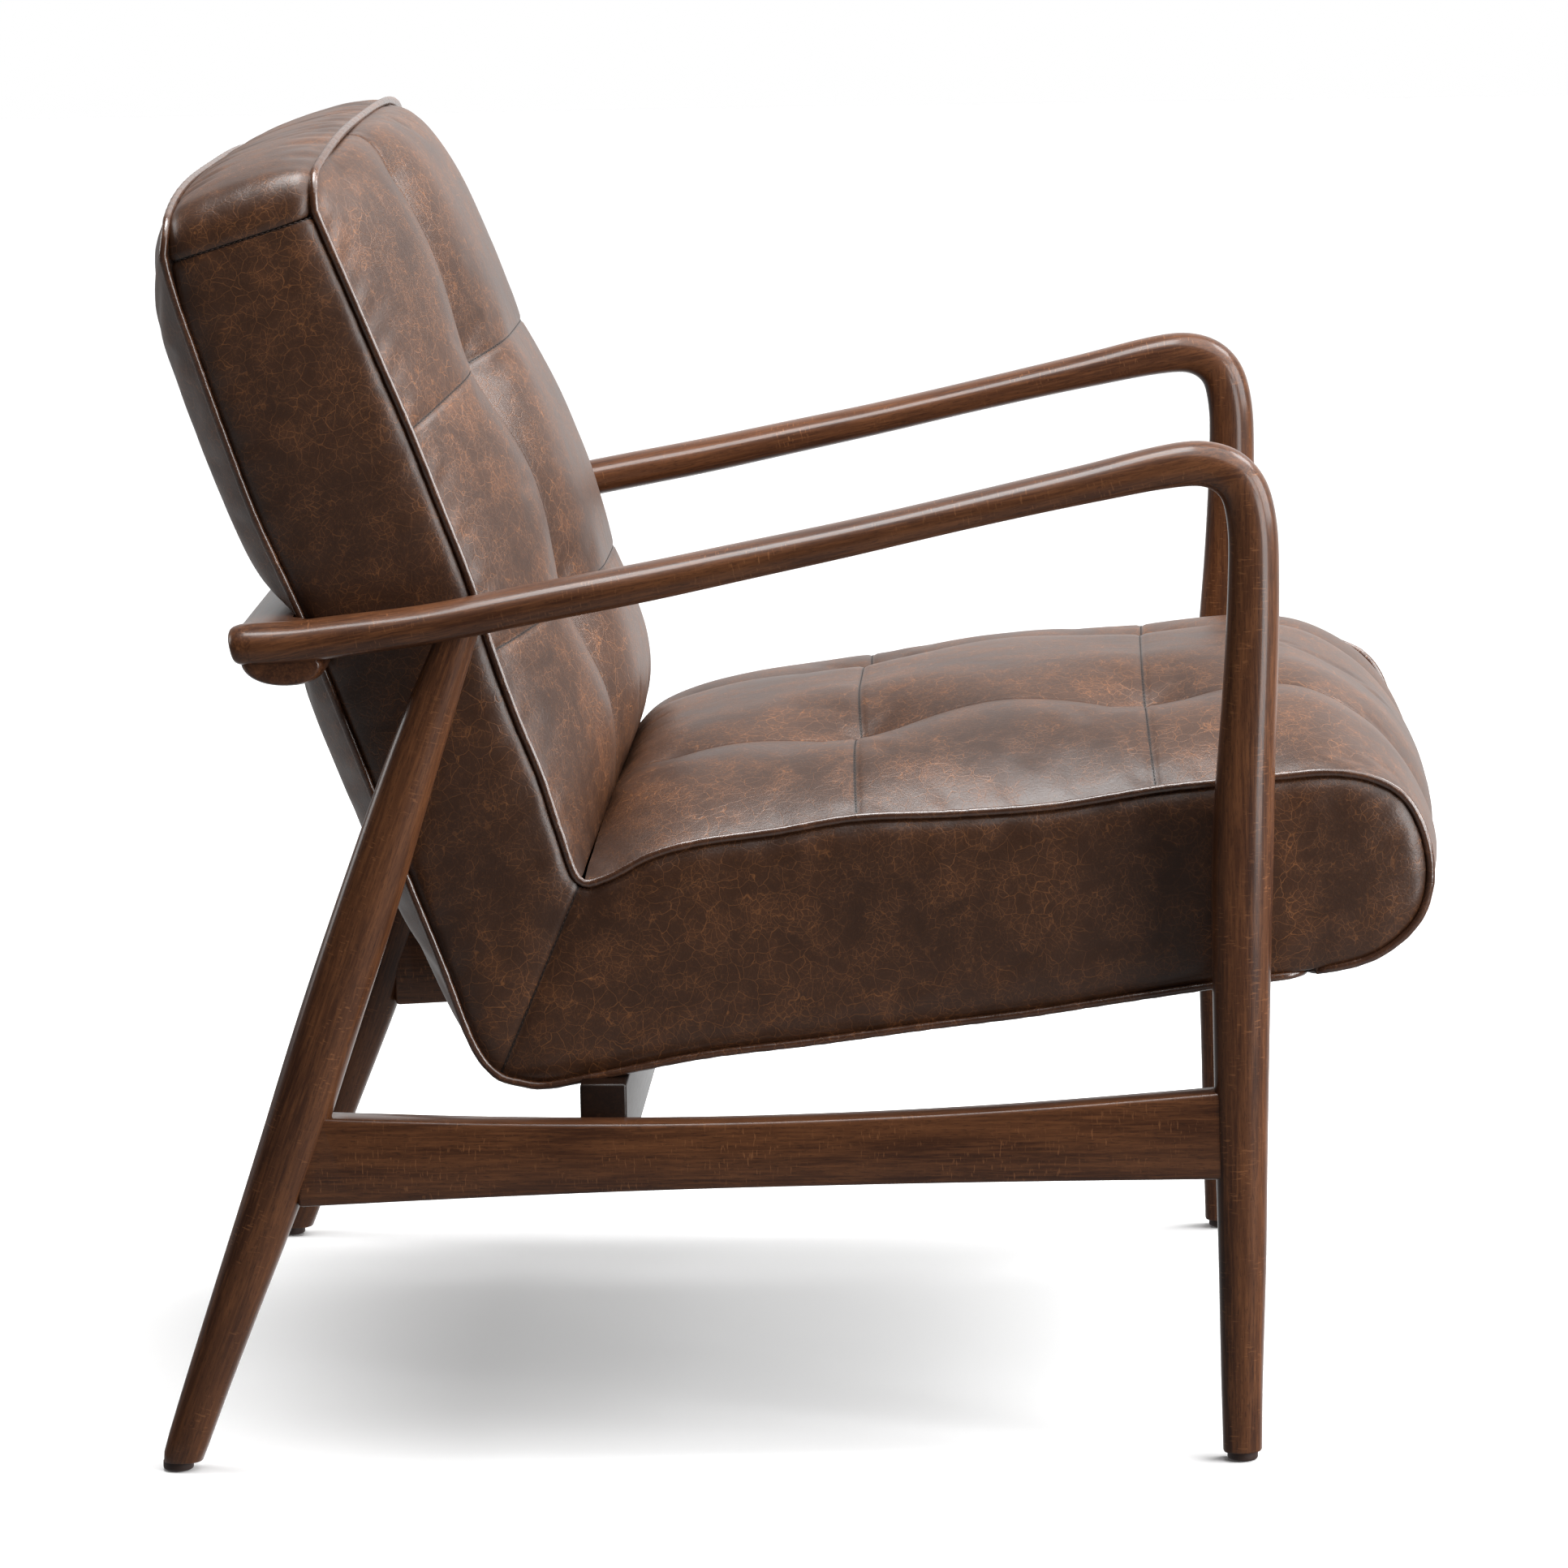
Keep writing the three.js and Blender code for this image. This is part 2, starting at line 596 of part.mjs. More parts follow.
function addShellFrame() {
  const between = [-BOARD_X[0] + GAP, BOARD_X[0] - GAP];
  for (const [name, side] of SIDES) {
    add(`seat_side_board_${name}`, cut(
      seatSideBoard(side), crossScrew(side, GAP), legBolt(side, GAP),
    ), 'frame_wood');
    const post = boardBlock(BACK_AXES, sideRange(side), BACK_REACH, BACK_UP);
    add(`back_side_board_${name}`, cut(
      post, seatSideBoard(side, GAP), railScrew(side, GAP),
    ), 'frame_wood');
  }
  const frontReach = [SEAT_REACH[1] - FRAME_BOARD, SEAT_REACH[1]];
  add('seat_front_board', boardBlock(SEAT_AXES, between, frontReach, SEAT_UP), 'frame_wood');
  const heelReach = [SEAT_REACH[0], SEAT_REACH[0] + FRAME_BOARD];
  add('heel_board', boardBlock(SEAT_AXES, between, heelReach, SEAT_UP), 'frame_wood');
  const topReach = [BACK_REACH[1] - FRAME_BOARD, BACK_REACH[1]];
  add('back_top_board', boardBlock(BACK_AXES, between, topReach, BACK_UP), 'frame_wood');
  addStraps('seat', SEAT_AXES, STRAP_PLACES_SEAT, SEAT_UP[1]);
  addStraps('back', BACK_AXES, STRAP_PLACES_BACK, BACK_UP[1]);
}

// Elastic webbing runs from side board to side board under the foam.
function addStraps(part, axes, places, level) {
  places.forEach((place, i) => {
    const along = [place - STRAP_WIDTH / 2, place + STRAP_WIDTH / 2];
    const up = [level + GAP, level + GAP + STRAP_THICKNESS];
    const x = [2 - BOARD_X[1], BOARD_X[1] - 2];
    add(`${part}_strap_${i + 1}`, boardBlock(axes, x, along, up), 'webbing');
  });
}

// Everything behind the slanting plane in which the seat and back paddings meet.
function behindMitre(shift) {
  const along = [MITRE.top[0] - MITRE.heel[0], MITRE.top[1] - MITRE.heel[1]];
  const length = Math.hypot(...along);
  const unit = [along[0] / length, along[1] / length];
  const reach = 700;
  const y = MITRE.heel[0] + unit[0] * 100 + unit[1] * (reach / 2 + shift);
  const z = MITRE.heel[1] + unit[1] * 100 - unit[0] * (reach / 2 + shift);
  return block(800, 1200, reach, [0, y, z], unit);
}

function addFoam() {
  const room = (axes, reach, top) => boardBlock(
    axes, [-BOARD_X[1] - 1, BOARD_X[1] + 1], reach, [-30, top + STRAP_THICKNESS + 2],
  );
  const seatRoom = room(SEAT_AXES, [-40, SEAT_REACH[1] + 1], SEAT_UP[1]);
  const backRoom = room(BACK_AXES, [-60, BACK_REACH[1] + 1], BACK_UP[1]);
  const whole = shellBody(stationsTo(INNER_HALF - GAP), () => LEATHER + FOAM_ROOM);
  const bolts = [legBolt(-1, GAP), legBolt(1, GAP)];
  add('seat_foam', cut(whole, behindMitre(-GAP / 2), seatRoom, backRoom, ...bolts), 'foam');
  add('back_foam', cut(common(whole, behindMitre(GAP / 2)), seatRoom, backRoom), 'foam');
}

function addCovers() {
  const heelCorner = FACE_END + HEEL_UNDER;
  const backTop = FACE_END + HEEL_TOP;
  const sheet = (from, to) => panel(from, to, 0, LEATHER, INNER_HALF);
  const underHoles = [crossScrew(-1, GAP), crossScrew(1, GAP)];
  const backHoles = [railScrew(-1, GAP), railScrew(1, GAP)];
  add('back_cover', sheet(0, FACE_CREASE), 'leather');
  add('seat_cover', sheet(FACE_CREASE, FACE_END), 'leather');
  add('bottom_panel', cut(sheet(FACE_END, heelCorner), ...underHoles), 'lining');
  add('outer_back_panel', cut(sheet(heelCorner, backTop), ...backHoles), 'leather');
  add('top_boxing', sheet(backTop, LOOP_LENGTH), 'leather');
  for (const [name, side] of SIDES) {
    const faces = [SHELL_HALF - BOXING, SHELL_HALF].map((x) => edgeLoop(side * x));
    add(`side_boxing_${name}`, cut(facingOut(loft(faces)), legBolt(side, GAP), frontWelt(GAP)), 'leather');
  }
}

function edgeLoop(x) {
  return outline(CROWN_FROM, 0).map((p) => p.setX(x));
}

// Each welt runs up one side of the shell, across the top of the back and down the other.
function weltPath(start, top) {
  const side = (from, to, x) => {
    const loop = outline(CROWN_FROM, -PIPING_OUT);
    const points = [];
    const step = Math.sign(to - from);
    for (let i = from; i !== to + step; i += step) {
      points.push(loop[i % loop.length].clone().setX(x));
    }
    return points;
  };
  const across = (i) => STATIONS.map((x) => outline(x, -PIPING_OUT)[i % LOOP_LENGTH]);
  return [...side(start, top, -PIPING_X), ...across(top), ...side(start, top, PIPING_X).reverse()];
}

function frontWelt(grow = 0) {
  return tube(weltPath(FACE_END - 1, 0), PIPING_RADIUS + grow, PIPING_SIDES);
}

function addPiping() {
  add('front_piping', frontWelt(), 'piping');
  add('rear_piping', tube(weltPath(FACE_END, FACE_END + HEEL_TOP), PIPING_RADIUS, PIPING_SIDES), 'piping');
}

addFrame();
addShellFrame();
addFoam();
addCovers();
addPiping();

export default chair;
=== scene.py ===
import math

import bpy
import numpy as np
from mathutils import Matrix, Vector


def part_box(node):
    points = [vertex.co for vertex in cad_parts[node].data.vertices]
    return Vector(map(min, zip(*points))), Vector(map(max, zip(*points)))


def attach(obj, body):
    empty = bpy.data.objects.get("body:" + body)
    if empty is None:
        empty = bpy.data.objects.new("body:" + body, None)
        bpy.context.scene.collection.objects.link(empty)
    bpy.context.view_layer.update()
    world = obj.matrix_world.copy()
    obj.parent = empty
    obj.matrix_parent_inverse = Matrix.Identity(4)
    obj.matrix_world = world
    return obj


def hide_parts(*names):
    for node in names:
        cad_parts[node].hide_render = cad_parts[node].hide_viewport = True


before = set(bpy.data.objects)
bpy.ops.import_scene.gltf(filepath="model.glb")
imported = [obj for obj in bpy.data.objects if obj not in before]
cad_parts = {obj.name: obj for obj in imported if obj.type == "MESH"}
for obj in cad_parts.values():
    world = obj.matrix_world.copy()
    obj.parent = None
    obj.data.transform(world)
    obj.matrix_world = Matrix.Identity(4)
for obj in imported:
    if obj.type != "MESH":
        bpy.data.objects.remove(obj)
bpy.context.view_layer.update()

bpy.ops.object.select_all(action="DESELECT")

# ---- Studio ----------------------------------------------------
# A white room with a pale floor, six soft boxes round the chair and a light ceiling. The
# camera stands low at the chair's right side, far away.

FOOT_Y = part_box("glide_rear_right")[0].y * 0.5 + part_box("glide_rear_right")[1].y * 0.5
MIDDLE = FOOT_Y - 0.330          # the pieces are drawn from the middle between the feet
YAW, PITCH, ROLL = math.radians(2.43), math.radians(9.11), math.radians(-1.06)
CAMERA_PLACE = (-4.807, -0.245 + MIDDLE, 1.145)
FILM_WIDE, LENS_LONG = 36, 170.068


def aim(yaw, pitch, roll):
    forward = Vector((math.cos(yaw) * math.cos(pitch), math.sin(yaw) * math.cos(pitch), -math.sin(pitch)))
    level = forward.cross(Vector((0, 0, 1))).normalized()
    upright = level.cross(forward)
    right = level * math.cos(roll) + upright * math.sin(roll)
    up = right.cross(forward)
    return Matrix((right, up, -forward)).transposed().to_4x4()


bpy.ops.object.camera_add()
camera = bpy.context.object
camera.matrix_world = Matrix.Translation(CAMERA_PLACE) @ aim(YAW, PITCH, ROLL)
camera.data.sensor_width = FILM_WIDE
camera.data.lens = LENS_LONG
camera.data.clip_end = 60
bpy.context.scene.camera = camera


def soft_box(name, place, size, power, target=(0, 0, 0.4)):
    bpy.ops.object.light_add(type="AREA", location=place)
    box = bpy.context.object
    box.name = name
    box.data.shape = "RECTANGLE"
    box.data.size, box.data.size_y = size
    box.data.energy = power
    box.rotation_euler = (Vector(target) - Vector(place)).to_track_quat("-Z", "Y").to_euler()


soft_box("key_light", (-2.4, -3.4, 1.9), (1.1, 1.5), 45)
soft_box("front_light", (-0.3, -3.6, 1.5), (2.4, 1.8), 120)
soft_box("bend_light", (1.0, -1.9, 2.4), (1.0, 1.0), 34)
soft_box("top_light", (0.0, 0.3, 2.6), (1.1, 1.1), 50)
soft_box("rear_light", (0.9, 3.4, 1.6), (1.8, 1.8), 45)
soft_box("side_light", (-1.3, -1.5, 0.45), (0.7, 0.7), 14, (-0.3, -0.25, 0.35))

bpy.ops.object.light_add(type="SUN", rotation=(math.radians(24), math.radians(-6), 0))
sky = bpy.context.object
sky.name = "ceiling_light"
sky.data.energy = 3.5
sky.data.angle = math.radians(70)

FLOOR_WIDE, FLOOR_DROP = 24, 0.0005
bpy.ops.mesh.primitive_plane_add(size=FLOOR_WIDE, location=(0, 0, -FLOOR_DROP))
floor = bpy.context.object
floor.name = "studio_floor"
floor.visible_glossy = False     # only the camera sees the floor: its light on the chair
floor.visible_diffuse = False    # comes from the lower half of the surround instead

bpy.context.scene.view_settings.view_transform = "Standard"


class Shade:
    """A shader socket that takes part in Python sums; each sum adds its Math node."""

    tree = None

    def __init__(self, socket):
        self.socket = socket

    @classmethod
    def node(cls, kind, settings=None, **inputs):
        made = cls.tree.nodes.new(kind)
        for key, value in (settings or {}).items():
            setattr(made, key, value)
        for key, value in inputs.items():
            cls.feed(made, key.replace("_", " "), value)
        return made

    @classmethod
    def feed(cls, made, key, value):
        if isinstance(value, Shade):
            cls.tree.links.new(value.socket, made.inputs[key])
        else:
            made.inputs[key].default_value = value

    @classmethod
    def maths(cls, operation, *values):
        made = cls.node("ShaderNodeMath", {"operation": operation})
        for number, value in enumerate(values):
            cls.feed(made, number, value)
        return Shade(made.outputs[0])

    def __add__(self, other):
        return Shade.maths("ADD", self, other)

    def __radd__(self, other):
        return Shade.maths("ADD", other, self)

    def __sub__(self, other):
        return Shade.maths("SUBTRACT", self, other)

    def __rsub__(self, other):
        return Shade.maths("SUBTRACT", other, self)

    def __mul__(self, other):
        return Shade.maths("MULTIPLY", self, other)

    def __rmul__(self, other):
        return Shade.maths("MULTIPLY", other, self)

    def span(self, low, high):
        """0 at low, 1 at high and beyond, with a soft start and stop."""
        made = Shade.node("ShaderNodeMapRange", {"interpolation_type": "SMOOTHSTEP"})
        for key, value in (("Value", self), ("From Min", low), ("From Max", high)):
            Shade.feed(made, key, value)
        return Shade(made.outputs["Result"])


def mixed(share, first, second):
    made = Shade.node("ShaderNodeMix", {"data_type": "RGBA"})
    for key, value in ((0, share), (6, first), (7, second)):
        Shade.feed(made, key, value)
    return Shade(made.outputs[2])


def tint(red, green, blue):
    """An sRGB colour, 0 to 255, as the linear colour that a shader takes."""
    def linear(part):
        part /= 255
        return part / 12.92 if part <= 0.04045 else ((part + 0.055) / 1.055) ** 2.4
    return (linear(red), linear(green), linear(blue), 1)


def finish_named(name):
    material = bpy.data.materials.new(name)
    material.use_nodes = True
    Shade.tree = material.node_tree
    return material, material.node_tree.nodes["Principled BSDF"]


def on_piece():
    """The place on a piece, in metres, that its finish is drawn from."""
    return Shade(Shade.node("ShaderNodeTexCoord").outputs["Object"])


def noise(place, scale, detail=4, roughness=0.5, distortion=0.0):
    made = Shade.node("ShaderNodeTexNoise", Vector=place, Scale=scale, Detail=detail,
                      Roughness=roughness, Distortion=distortion)
    return Shade(made.outputs["Fac"])


def bump(height, strength, distance, below=None):
    made = Shade.node("ShaderNodeBump", Height=height, Strength=strength, Distance=distance)
    if below is not None:
        Shade.feed(made, "Normal", below)
    return Shade(made.outputs["Normal"])


def wear_finish(piece, material):
    piece.data.materials.clear()
    piece.data.materials.append(material)


# The chair is lit by the wall beyond it and, less, from below; the room's near side is dim.
DIM, LIT, WHITE = (0.06, 0.06, 0.062, 1), (1.1, 1.1, 1.1, 1), (1.0, 1.0, 1.0, 1)

world = bpy.data.worlds.new("studio")
bpy.context.scene.world = world
world.use_nodes = True
Shade.tree = world.node_tree
towards = Shade(Shade.node("ShaderNodeTexCoord").outputs["Generated"])
parted = Shade.node("ShaderNodeSeparateXYZ", Vector=towards)
ahead_share = Shade(parted.outputs["X"]).span(0.42, 0.97)
rear_share = Shade(parted.outputs["Y"]).span(0.02, 0.42)
below_share = Shade(parted.outputs["Z"]).span(-0.05, -0.5)
lit_side = ahead_share * (1 - 0.8 * rear_share) + 0.32 * below_share
seen = Shade(Shade.node("ShaderNodeLightPath").outputs["Is Camera Ray"])
surround = mixed(lit_side, DIM, LIT)
Shade.feed(world.node_tree.nodes["Background"], "Color", mixed(seen, surround, WHITE))
world.node_tree.nodes["Background"].inputs["Strength"].default_value = 1.0

floor_paint, shader = finish_named("floor_paint")
shader.inputs["Roughness"].default_value = 0.9
Shade.feed(shader, "Base Color", mixed(noise(on_piece(), 1.5), tint(250, 250, 250), tint(254, 254, 254)))
wear_finish(floor, floor_paint)

# ---- Arms ------------------------------------------------------
# Each arm is one piece of beech from the back rail to the bend over the front leg. It is
# shaped to an oval, stained walnut and lacquered, and glued to the leg in the bend.

FRAME_HALF = 0.332
ARM_LINE = [
    (282, 517, 13, 26), (281, 517.2, 19.5, 33), (278, 517.6, 23, 37), (272, 517.8, 25.2, 39.4),
    (255, 518.2, 25.4, 39.8), (238, 519.2, 25.3, 40), (215, 522, 25, 40), (163, 528, 24, 40),
    (120, 536, 24, 40), (77, 544, 24, 40), (24, 553.5, 23.5, 40), (-35, 565.5, 22.5, 40),
    (-95, 577.5, 21.5, 39), (-154, 590.5, 21, 38), (-214, 603.5, 22, 37), (-250, 611, 23.5, 36),
    (-280, 617.5, 25.5, 34), (-303, 621, 27, 33), (-316, 620.5, 27.5, 32), (-326, 617, 28.5, 32),
    (-333, 611.5, 29, 32), (-338, 604, 29.5, 32), (-341, 594, 30, 32),
]
JOINT = Vector((0, -0.333 + MIDDLE, 0.6115))
JOINT_ALONG = Vector((0, -0.62, -0.785)).normalized()
JOINT_GAP = 0.00002
LAP_END = 0.2682 + MIDDLE        # where an arm stops against the back rail's lip


def through(points, at):
    """A smooth line through given points, taken at places counted in points."""
    points = np.asarray(points, float)
    last = len(points) - 1
    at = np.clip(np.asarray(at, float), 0, last)
    cell = np.minimum(at.astype(int), last - 1)
    part = (at - cell)[:, None]
    p0 = points[np.maximum(cell - 1, 0)]
    p1, p2 = points[cell], points[cell + 1]
    p3 = points[np.minimum(cell + 2, last)]
    return 0.5 * (2 * p1 + (p2 - p0) * part + (2 * p0 - 5 * p1 + 4 * p2 - p3) * part ** 2
                  + (3 * p1 - p0 - 3 * p2 + p3) * part ** 3)


def pick(piece):
    """Makes a piece the one that the next command works on."""
    bpy.ops.object.select_all(action="DESELECT")
    piece.select_set(True)
    bpy.context.view_layer.objects.active = piece


def turn_ring(angle, centre):
    bpy.ops.transform.rotate(value=-angle, orient_axis="X", center_override=centre)


ROUND, SQUARED = 2.1, 3.6         # how round the upper and the under side of a section are


def square_off(ring):
    """Makes the under side of a round ring flatter, with tighter corners."""
    for point in ring.data.vertices:
        across, up = abs(point.co.x) * 2, abs(point.co.y) * 2
        power = ROUND if point.co.y > 0 else SQUARED
        point.co *= (across ** power + up ** power) ** (-1 / power)


def oval_bar(name, line, foot_x, top_x, sides=24, per_point=2):
    """Extrudes a ring from station to station: (y, z, thickness, width), in millimetres."""
    at = np.linspace(0, len(line) - 1, (len(line) - 1) * per_point + 1)
    stations = through(line, at)
    slope = np.gradient(stations[:, :2], axis=0)
    top_z = stations[:, 1].max()
    before, lean = None, 0.0
    for (y, z, thick, wide), (dy, dz) in zip(stations, slope):
        x = foot_x + (top_x - foot_x) * max(0.0, z / top_z)
        centre = Vector((x, y / 1000 + MIDDLE, z / 1000))
        angle = math.atan2(-dy, dz)
        if before is None:
            bpy.ops.mesh.primitive_circle_add(vertices=sides, radius=0.5, fill_type="NGON", location=centre)
            square_off(bpy.context.object)
            bpy.ops.object.mode_set(mode="EDIT")
            bpy.ops.transform.resize(value=(wide / 1000, thick / 1000, 1), center_override=centre)
        else:
            bpy.ops.mesh.extrude_region_move(TRANSFORM_OT_translate={"value": centre - before[0]})
            turn_ring(-lean, centre)
            bpy.ops.transform.resize(value=(wide / before[1], thick / before[2], 1), center_override=centre)
        turn_ring(angle, centre)
        before, lean = (centre, wide, thick), angle
    bpy.ops.mesh.select_all(action="SELECT")
    bpy.ops.mesh.normals_make_consistent(inside=False)
    bpy.ops.object.mode_set(mode="OBJECT")
    piece = bpy.context.object
    piece.name = name
    return modify(settle(piece), "SUBSURF", levels=1, render_levels=1)


def settle(piece):
    """Brings a piece's place into its mesh, so that its object stands at the origin."""
    pick(piece)
    bpy.ops.object.transform_apply(location=True, rotation=True, scale=True)
    return piece


def modify(piece, kind, **settings):
    modifier = piece.modifiers.new(kind.lower(), kind)
    for key, value in settings.items():
        setattr(modifier, key, value)
    pick(piece)
    bpy.ops.object.modifier_apply(modifier=modifier.name)
    return piece


def saw(piece, point, normal):
    """Cuts a piece along a plane, keeps the side behind the normal and closes the cut."""
    pick(piece)
    bpy.ops.object.mode_set(mode="EDIT")
    bpy.ops.mesh.select_all(action="SELECT")
    bpy.ops.mesh.bisect(plane_co=point, plane_no=normal, use_fill=True, clear_outer=True)
    bpy.ops.object.mode_set(mode="OBJECT")
    return piece


def smooth(piece, degrees=40):
    pick(piece)
    bpy.ops.object.shade_smooth_by_angle(angle=math.radians(degrees))
    return piece


def stained_beech(name, slope, depth=1.0, turn=0.0):
    """Walnut-stained beech; its grain runs along Y, tilted by a slope and turned about Z."""
    material, shader = finish_named(name)
    turned = Shade(Shade.node("ShaderNodeMapping", Vector=on_piece(),
                              Rotation=(-slope, 0, turn)).outputs[0])

    def stretched(*scale):
        return Shade(Shade.node("ShaderNodeMapping", Vector=turned, Scale=scale).outputs[0])

    bands = noise(stretched(1, 0.06, 1), 75, 3, 0.55, 0.3)
    fibres = noise(stretched(1, 0.05, 1), 620, 4, 0.6)
    pores = noise(stretched(1, 0.12, 1), 1500, 2, 0.5)
    flakes = noise(stretched(0.5, 2.2, 0.5), 330, 2, 0.45)
    patches = noise(turned, 9, 3, 0.5)
    worn = noise(stretched(1, 0.5, 1), 34, 3, 0.6)
    dark = mixed(bands.span(0.3, 0.7), tint(56, 30, 16), tint(90, 54, 31))
    streaked = mixed(fibres.span(0.38, 0.7) * 0.5, dark, tint(120, 75, 44))
    pored = mixed(pores.span(0.55, 0.68) * 0.45, streaked, tint(32, 17, 10))
    flaked = mixed(flakes.span(0.6, 0.7) * worn.span(0.42, 0.62) * 0.5, pored, tint(144, 95, 60))
    stained = mixed(patches.span(0.35, 0.7) * 0.3, flaked, tint(50, 26, 15))
    # A depth below 1 mixes the stain towards near-black: painted shade, for a piece that stands in shade.
    if depth < 1:
        stained = mixed(depth, tint(9, 5, 4), stained)
    Shade.feed(shader, "Base Color", stained)
    Shade.feed(shader, "Roughness", 0.36 + 0.14 * fibres)
    shader.inputs["Specular IOR Level"].default_value = 0.2
    shader.inputs["Coat Weight"].default_value = 0.4
    shader.inputs["Coat Roughness"].default_value = 0.16
    Shade.feed(shader, "Normal", bump(fibres - 0.6 * pores.span(0.55, 0.7), 0.07, 0.0003))
    return material


ARM_SLOPE = math.atan2(-0.205, 1)
arm_wood = stained_beech("arm_wood", ARM_SLOPE)
SIDES = (("right", -1), ("left", 1))
arms = {}
noses = []                       # the arms' rounded ends, which belong to the back rail


def copied(piece):
    twin = piece.copy()
    twin.data = piece.data.copy()
    bpy.context.collection.objects.link(twin)
    return twin


for name, side in SIDES:
    arm = oval_bar("arm_piece_" + name, ARM_LINE, side * FRAME_HALF, side * FRAME_HALF)
    noses.append(saw(copied(arm), Vector((0, LAP_END, 0)), Vector((0, -1, 0))))
    saw(arm, JOINT - JOINT_ALONG * JOINT_GAP, JOINT_ALONG)
    saw(arm, Vector((0, LAP_END, 0)), Vector((0, 1, 0)))
    smooth(arm)
    wear_finish(arm, arm_wood)
    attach(arm, "root")
    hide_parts("arm_" + name)
    arms[name] = arm

# ---- Front legs ------------------------------------------------
# Each front leg is a turned and shaped beech post, thickest under the seat and slim at
# the foot. Its top bends back into the arm, where the two are dowelled and glued.

FRONT_LEG_LINE = [
    (-303, 621.5, 27, 33), (-314, 621, 27.5, 32.5), (-325, 617.5, 28.5, 32), (-333, 611.5, 29, 32),
    (-338, 604, 29.5, 32), (-341, 594, 30, 32), (-343, 580, 30.5, 32.5), (-343.5, 562, 31, 33),
    (-342.5, 520, 32.5, 33.5), (-340, 471, 34, 34), (-337, 424, 36.5, 34.5), (-335.5, 384, 38, 35),
    (-334.5, 348, 37.5, 35), (-334, 315, 36.5, 35), (-333.5, 255, 34.5, 34), (-333, 190, 32.2, 32.5),
    (-333, 132, 30, 31), (-332.5, 90, 28, 29), (-332, 50, 26, 27), (-332, 20, 24.8, 25.3),
    (-332, -4, 24, 24),
]
GLIDE_HEIGHT, FOOT_EASE = 0.0055, 0.0012
leg_wood = stained_beech("leg_wood", math.pi / 2)
legs = {}


def post(name, line, foot_x, top_x):
    """An oval leg, sawn level above its glide, with the cut's rim eased."""
    leg = oval_bar(name, line, foot_x, top_x)
    saw(leg, Vector((0, 0, GLIDE_HEIGHT)), Vector((0, 0, -1)))
    return modify(leg, "BEVEL", width=FOOT_EASE, segments=2, limit_method="ANGLE",
                  angle_limit=math.radians(50))


for name, side in SIDES:
    leg = post("front_leg_piece_" + name, FRONT_LEG_LINE, side * FRAME_HALF, side * FRAME_HALF)
    saw(leg, JOINT + JOINT_ALONG * JOINT_GAP, -JOINT_ALONG)
    smooth(leg)
    wear_finish(leg, leg_wood)
    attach(leg, "root")
    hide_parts("front_leg_" + name)
    legs["front", name] = leg

# ---- Rear legs -------------------------------------------------
# Each rear leg rakes back from the underside of the arm to the floor, oval like the
# front leg. Its top is coped to the arm's underside and held by a dowel.

REAR_LEG_LINE = [
    (137, 538, 23.5, 27), (140, 530, 24, 27), (148, 508, 25.5, 28), (165, 464, 31, 31),
    (184, 410, 34.5, 34), (201, 360, 37.5, 35), (218, 312, 38.5, 35), (236, 260, 38.7, 35),
    (252, 212, 38, 35), (272, 157, 35, 33), (293, 101, 31, 30), (313, 47, 27.5, 27.5),
    (331, -4, 24.5, 25),
]
REAR_FOOT_X, REAR_TOP_X = 0.336, 0.332
rear_leg_wood = stained_beech("rear_leg_wood", math.atan2(534, -194))


def cut_by(piece, *cutters):
    for cutter in cutters:
        modify(piece, "BOOLEAN", operation="DIFFERENCE", solver="EXACT", object=cutter)
    return piece


for name, side in SIDES:
    leg = post("rear_leg_piece_" + name, REAR_LEG_LINE, side * REAR_FOOT_X, side * REAR_TOP_X)
    cut_by(leg, arms[name])
    smooth(leg)
    wear_finish(leg, rear_leg_wood)
    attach(leg, "root")
    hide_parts("rear_leg_" + name)
    legs["rear", name] = leg

# ---- Side stretchers -------------------------------------------
# A flat board joins the front and rear leg on each side. Its lower edge is straight at
# the front and sweeps down to the rear leg; its edges are eased, its ends butt the legs.

BOARD_THICK = 0.025
BOARD_TOP = [(-330, 234), (-200, 224.5), (-90, 219.5), (20, 217.5), (130, 219), (250, 223.5)]
BOARD_BOTTOM = [(-330, 179), (-200, 178.6), (-90, 177.5), (20, 175.5), (130, 172), (250, 167)]
BOARD_STEPS, BOARD_EASE = 30, 0.0028
board_wood = stained_beech("board_wood", 0.0)


def eased_board(name, top, bottom, x_middle, thick, steps, ease):
    """A board sawn to a curved top and bottom edge, standing along the chair's side."""
    bpy.ops.mesh.primitive_cube_add(size=1, location=(x_middle, 0, 0), scale=(thick, 1, 1))
    board = settle(bpy.context.object)
    board.name = name
    bpy.ops.object.mode_set(mode="EDIT")
    for step in range(1, steps):
        bpy.ops.mesh.select_all(action="SELECT")
        bpy.ops.mesh.bisect(plane_co=(0, step / steps - 0.5, 0), plane_no=(0, 1, 0))
    bpy.ops.object.mode_set(mode="OBJECT")
    for point in board.data.vertices:
        line = top if point.co.z > 0 else bottom
        y, z = through(line, [(point.co.y + 0.5) * (len(line) - 1)])[0] / 1000
        point.co.y, point.co.z = y + MIDDLE, z
    modify(board, "BEVEL", width=ease, segments=3, limit_method="ANGLE", angle_limit=math.radians(60))
    return board


for name, side in SIDES:
    board = eased_board("side_stretcher_piece_" + name, BOARD_TOP, BOARD_BOTTOM,
                        side * FRAME_HALF, BOARD_THICK, BOARD_STEPS, BOARD_EASE)
    cut_by(board, legs["front", name], legs["rear", name])
    smooth(board, 35)
    wear_finish(board, board_wood)
    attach(board, "root")
    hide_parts("side_stretcher_" + name)

# ---- Back rail -------------------------------------------------
# A round-bellied beech rail runs across behind the back, under the ends of the arms.
# It is notched at the front, where the upholstered back leans on it.

